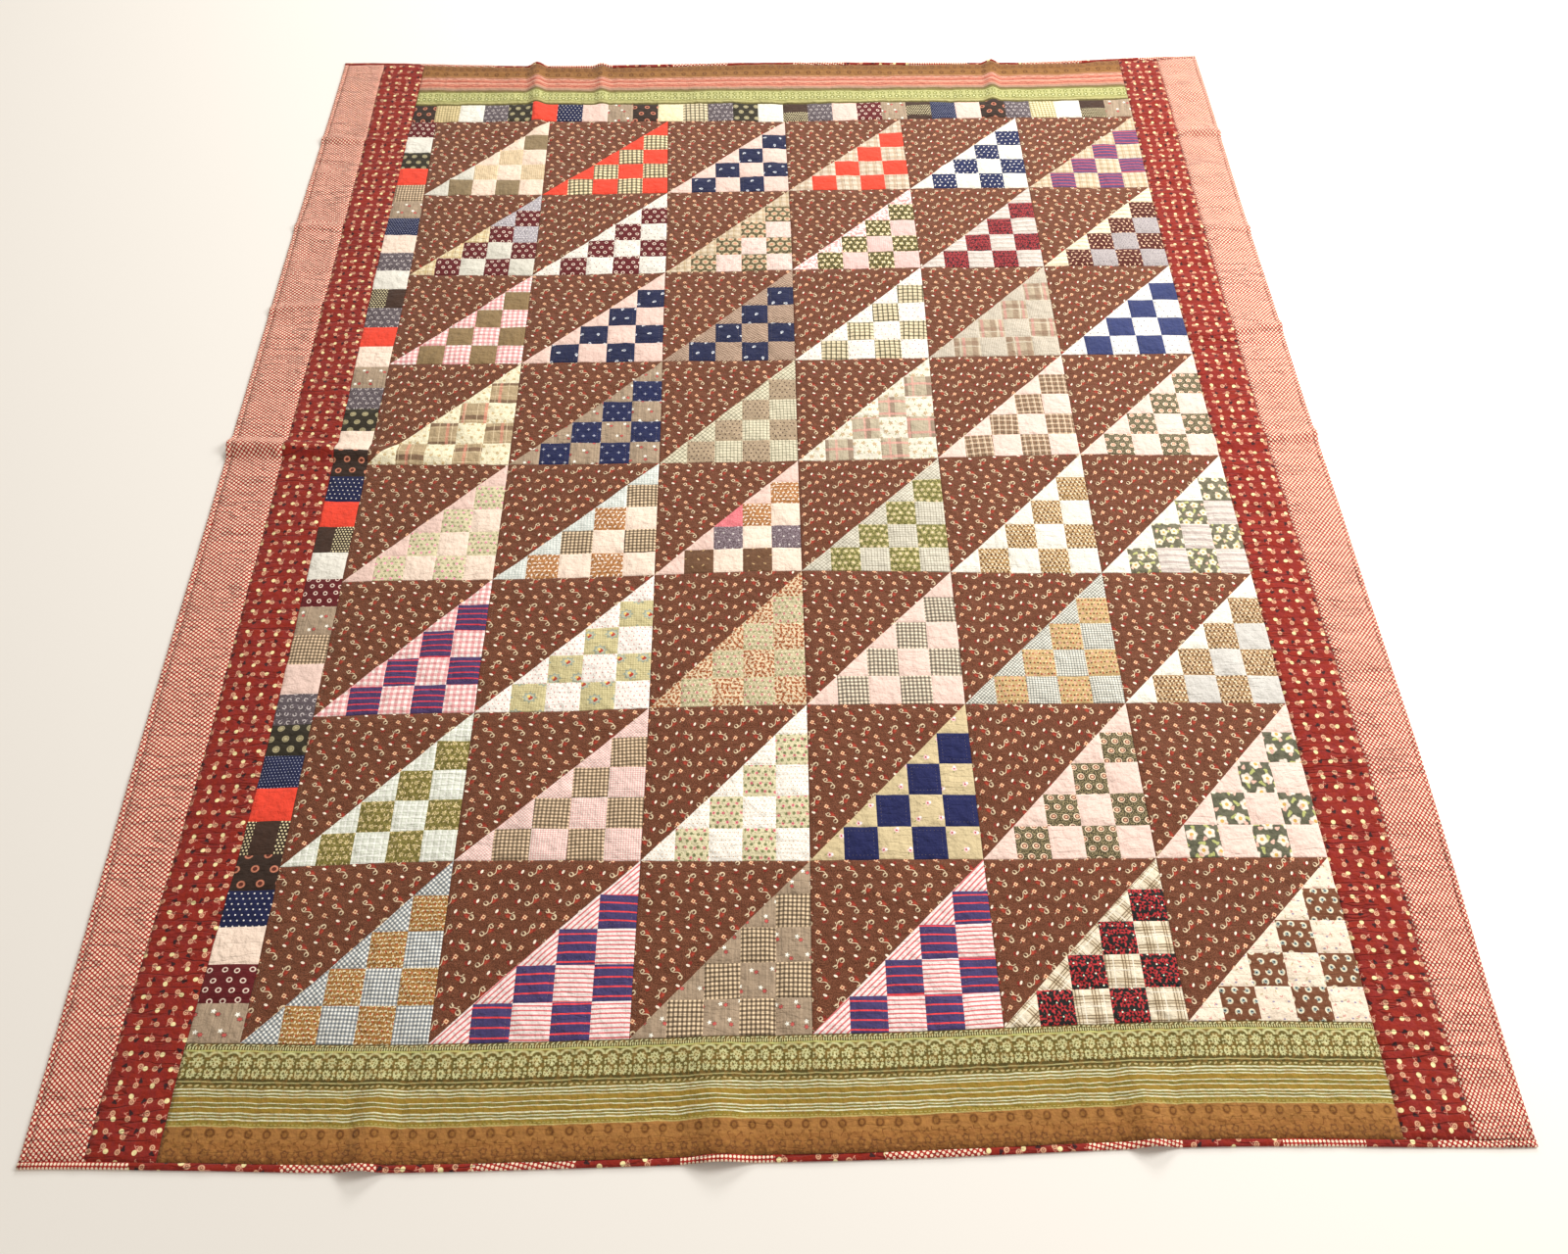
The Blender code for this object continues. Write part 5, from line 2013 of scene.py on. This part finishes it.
SIDE_LENGTHS = (0, 5000)  # in one length
side_ends = (BORDER_BOTTOM + SEAM_GAP, BORDER_TOP - SEAM_GAP)
binding("left", side_ends, DOTTED_LEFT, LEFT, True, SIDE_LENGTHS, 1)
binding("right", side_ends, DOTTED_RIGHT, RIGHT, True, SIDE_LENGTHS, 1)
binding("bottom", (LEFT, RIGHT), BORDER_BOTTOM, BOTTOM, False, BOTTOM_LENGTHS, 1)
binding("top", (LEFT, RIGHT), BORDER_TOP, TOP, False, TOP_LENGTHS, 0)
print("four bindings,", len(PIECES), "pieces in all")

# %% [markdown]
# ## The quilting stitches
#
# Running stitches hold the layers together, a few millimetres inside each seam. They repeat along
# lines, which is work for Geometry Nodes: the lines are resampled at the pitch of the stitches, a
# small long bead is set at each place, and the beads are made real and given their thread.

# %% Tree for the stitches
# Both tones are darker than the thread itself: they carry the painted shade of the dimples that the stitches
# pull into the cloth.
THREAD_AND_DIMPLE_SHADE = "#8f8270", "#a99b85"
TWIST_SCALE = 900.0  # to the metre

thread = plain_material("quilting thread", THREAD_AND_DIMPLE_SHADE[0], 0.7)
t = Tree(thread.node_tree)
surface = thread.node_tree.nodes["Principled BSDF"]
twist = t.noise(t.node("ShaderNodeTexCoord").outputs["Object"], TWIST_SCALE, 1.0)
shade = t.mixed(t.spread(twist, 0.3, 0.7), *map(dye, THREAD_AND_DIMPLE_SHADE))
t.join(shade, surface.inputs["Base Color"])
t.join(t.spread(twist, 0.3, 0.7, 0.6, 0.85), surface.inputs["Roughness"])


def stitch_tree():
    """A geometry tree that sets a stitch along every line of a mesh of lines."""
    tree = bpy.data.node_groups.new("running stitches", "GeometryNodeTree")
    tree.interface.new_socket(name="Geometry", in_out="INPUT", socket_type="NodeSocketGeometry")
    for title in ("Pitch", "Stitch length", "Thread width"):
        tree.interface.new_socket(name=title, in_out="INPUT", socket_type="NodeSocketFloat")
    tree.interface.new_socket(name="Geometry", in_out="OUTPUT", socket_type="NodeSocketGeometry")
    t = Tree(tree)
    given, wanted = t.node("NodeGroupInput").outputs, t.node("NodeGroupOutput").inputs
    lines = t.filled("GeometryNodeMeshToCurve", {"Mesh": given["Geometry"]})
    inputs = {"Curve": lines.outputs["Curve"], "Length": given["Pitch"]}
    places = t.filled("GeometryNodeCurveToPoints", inputs, mode="LENGTH")
    bead = t.filled("GeometryNodeMeshUVSphere", {"Segments": 4, "Rings": 2, "Radius": 0.5})
    size = t.joined(given["Thread width"], given["Thread width"], given["Stitch length"])
    inputs = {"Points": places.outputs["Points"], "Instance": bead.outputs["Mesh"]}
    inputs |= {"Rotation": places.outputs["Rotation"], "Scale": size}
    beads = t.filled("GeometryNodeInstanceOnPoints", inputs)
    inputs = {"Geometry": beads.outputs["Instances"]}
    real = t.filled("GeometryNodeRealizeInstances", inputs)
    inputs = {"Geometry": real.outputs["Geometry"], "Material": thread}
    painted = t.filled("GeometryNodeSetMaterial", inputs)
    t.join(painted.outputs["Geometry"], wanted["Geometry"])
    return tree


STITCHES = stitch_tree()
print("made the tree", STITCHES.name)

# %% [markdown]
# ## Sewing the stitches
#
# A line of quilting is a loop of sewn places, cut into short steps and laid on the cloth at the
# height it has there. Each row of blocks gets one piece of stitches, and the borders another.

# %% Stitches
STITCH_PITCH, STITCH_LENGTH, THREAD_WIDTH = 5.0 * MM, 2.4 * MM, 0.42 * MM
STITCH_RAISE, LINE_STEP = 0.02 * MM, 6 * MM


def loop_places(corners):
    """Places a step apart round a closed loop of corners."""
    found = []
    for a, b in zip(corners, corners[1:] + corners[:1]):
        a, b = np.array(a), np.array(b)
        steps = max(1, round(float(np.hypot(*(b - a))) / LINE_STEP))
        found += [a + (b - a) * k / steps for k in range(steps)]
    return np.array(found)


def stitched(name, loops):
    """One mesh of stitches along loops, where each loop has its places and its depth of pad."""
    points, edges = [], []
    for places, distance in loops:
        x, y = places[:, 0], places[:, 1]
        flat_x, flat_y = lie(x, y)
        top = lift(x, y) + thickness(distance(x, y), x, y)
        start = len(points)
        points += np.column_stack([flat_x, flat_y, top + STITCH_RAISE]).tolist()
        edges += [(start + k, start + (k + 1) % len(x)) for k in range(len(x))]
    mesh = bpy.data.meshes.new(name + "_lines")
    mesh.from_pydata(points, edges, [])
    lines = placed(name + "_lines", mesh)
    modifier = lines.modifiers.new("stitches", "NODES")
    modifier.node_group = STITCHES
    sizes = {"Pitch": STITCH_PITCH, "Stitch length": STITCH_LENGTH, "Thread width": THREAD_WIDTH}
    for socket in STITCHES.interface.items_tree:
        if socket.name in sizes:
            modifier[socket.identifier] = sizes[socket.name]
    graph = bpy.context.evaluated_depsgraph_get()
    made = bpy.data.meshes.new_from_object(lines.evaluated_get(graph))
    made.name = name
    piece = placed(name, made)
    bpy.data.objects.remove(lines)
    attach(piece, "root")
    return piece


INSET = QUILT_INSET * MM
SLOPE_INSET = INSET * (1 + math.sqrt(2))


def box_loop(x0, x1, y0, y1):
    """The corners of the line of quilting inside a box of seams."""
    x0, x1, y0, y1 = x0 + INSET, x1 - INSET, y0 + INSET, y1 - INSET
    return [(x0, y0), (x1, y0), (x1, y1), (x0, y1)]


def block_loops(left, bottom):
    """The quilting lines of one block: round each square, each small triangle and the large one."""
    loops = []
    for down in range(PATCHES):
        for along in range(PATCHES):
            step = down + along - (PATCHES - 1)
            x0, y0 = left + along * PATCH, bottom + (PATCHES - 1 - down) * PATCH
            low_left, low_right, high_right, high_left = box_loop(x0, x0 + PATCH, y0, y0 + PATCH)
            if step > 0:
                loops.append([low_left, low_right, high_right, high_left])
            if step == 0:
                short = SLOPE_INSET - INSET
                slope_ends = (low_left[0] + short, low_left[1]), (high_right[0], high_right[1] - short)
                loops.append([slope_ends[0], low_right, slope_ends[1]])
    high = bottom + BLOCK - INSET
    low_end, high_end = (left + INSET, bottom + SLOPE_INSET), (left + BLOCK - SLOPE_INSET, high)
    loops.append([low_end, high_end, (left + INSET, high)])
    return loops


STITCH_PIECES = []
for row in range(ROWS):
    loops = []
    for column in range(COLUMNS):
        left, bottom = FIELD_LEFT + column * BLOCK, FIELD_TOP - (row + 1) * BLOCK
        distance = block_seams(left, bottom)
        loops += [(loop_places(corners), distance) for corners in block_loops(left, bottom)]
    STITCH_PIECES.append(stitched(f"stitches_row_{row + 1}", loops))

loops = []
for _, _, x_ends, y_ends, _ in BORDERS:
    loops.append((loop_places(box_loop(*x_ends, *y_ends)), lines_distance(x_ends, y_ends)))
STITCH_PIECES.append(stitched("stitches_borders", loops))
print(sum(len(piece.data.polygons) for piece in STITCH_PIECES) // 8, "stitches")

# %% [markdown]
# ## Counting the cloth
#
# Each pad is a sheet of cloth laid flat, with the size that it was cut to. The pieces and the
# stitches are counted, with the triangles of their meshes.

hems = {
    "border_dotted_left_cloth": "binding_left_cloth",
    "border_dotted_right_cloth": "binding_right_cloth",
    "border_striped_top_cloth": "binding_top_cloth",
    "border_striped_bottom_cloth": "binding_bottom_cloth",
}
for piece, flat in PIECES:
    if piece.name in hems.values():
        continue
triangles = 0
for piece in [piece for piece, _ in PIECES] + STITCH_PIECES:
    piece.data.calc_loop_triangles()
    triangles += len(piece.data.loop_triangles)
print(len(PIECES), "sheets and", triangles, "triangles")

# %% [markdown]
# ## The size, and the end
#
# The box of the solids and the box of the dressed quilt are both gathered, and the dressed one is
# printed. The dressed quilt has to keep to the box of the solids.

# %% The size of the dressed quilt
visual_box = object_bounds()
boxes = {"cad": [list(map(float, corner)) for corner in cad_box]}
boxes["visual"] = [list(map(float, corner)) for corner in visual_box]
print("the dressed quilt reaches from", boxes["visual"])
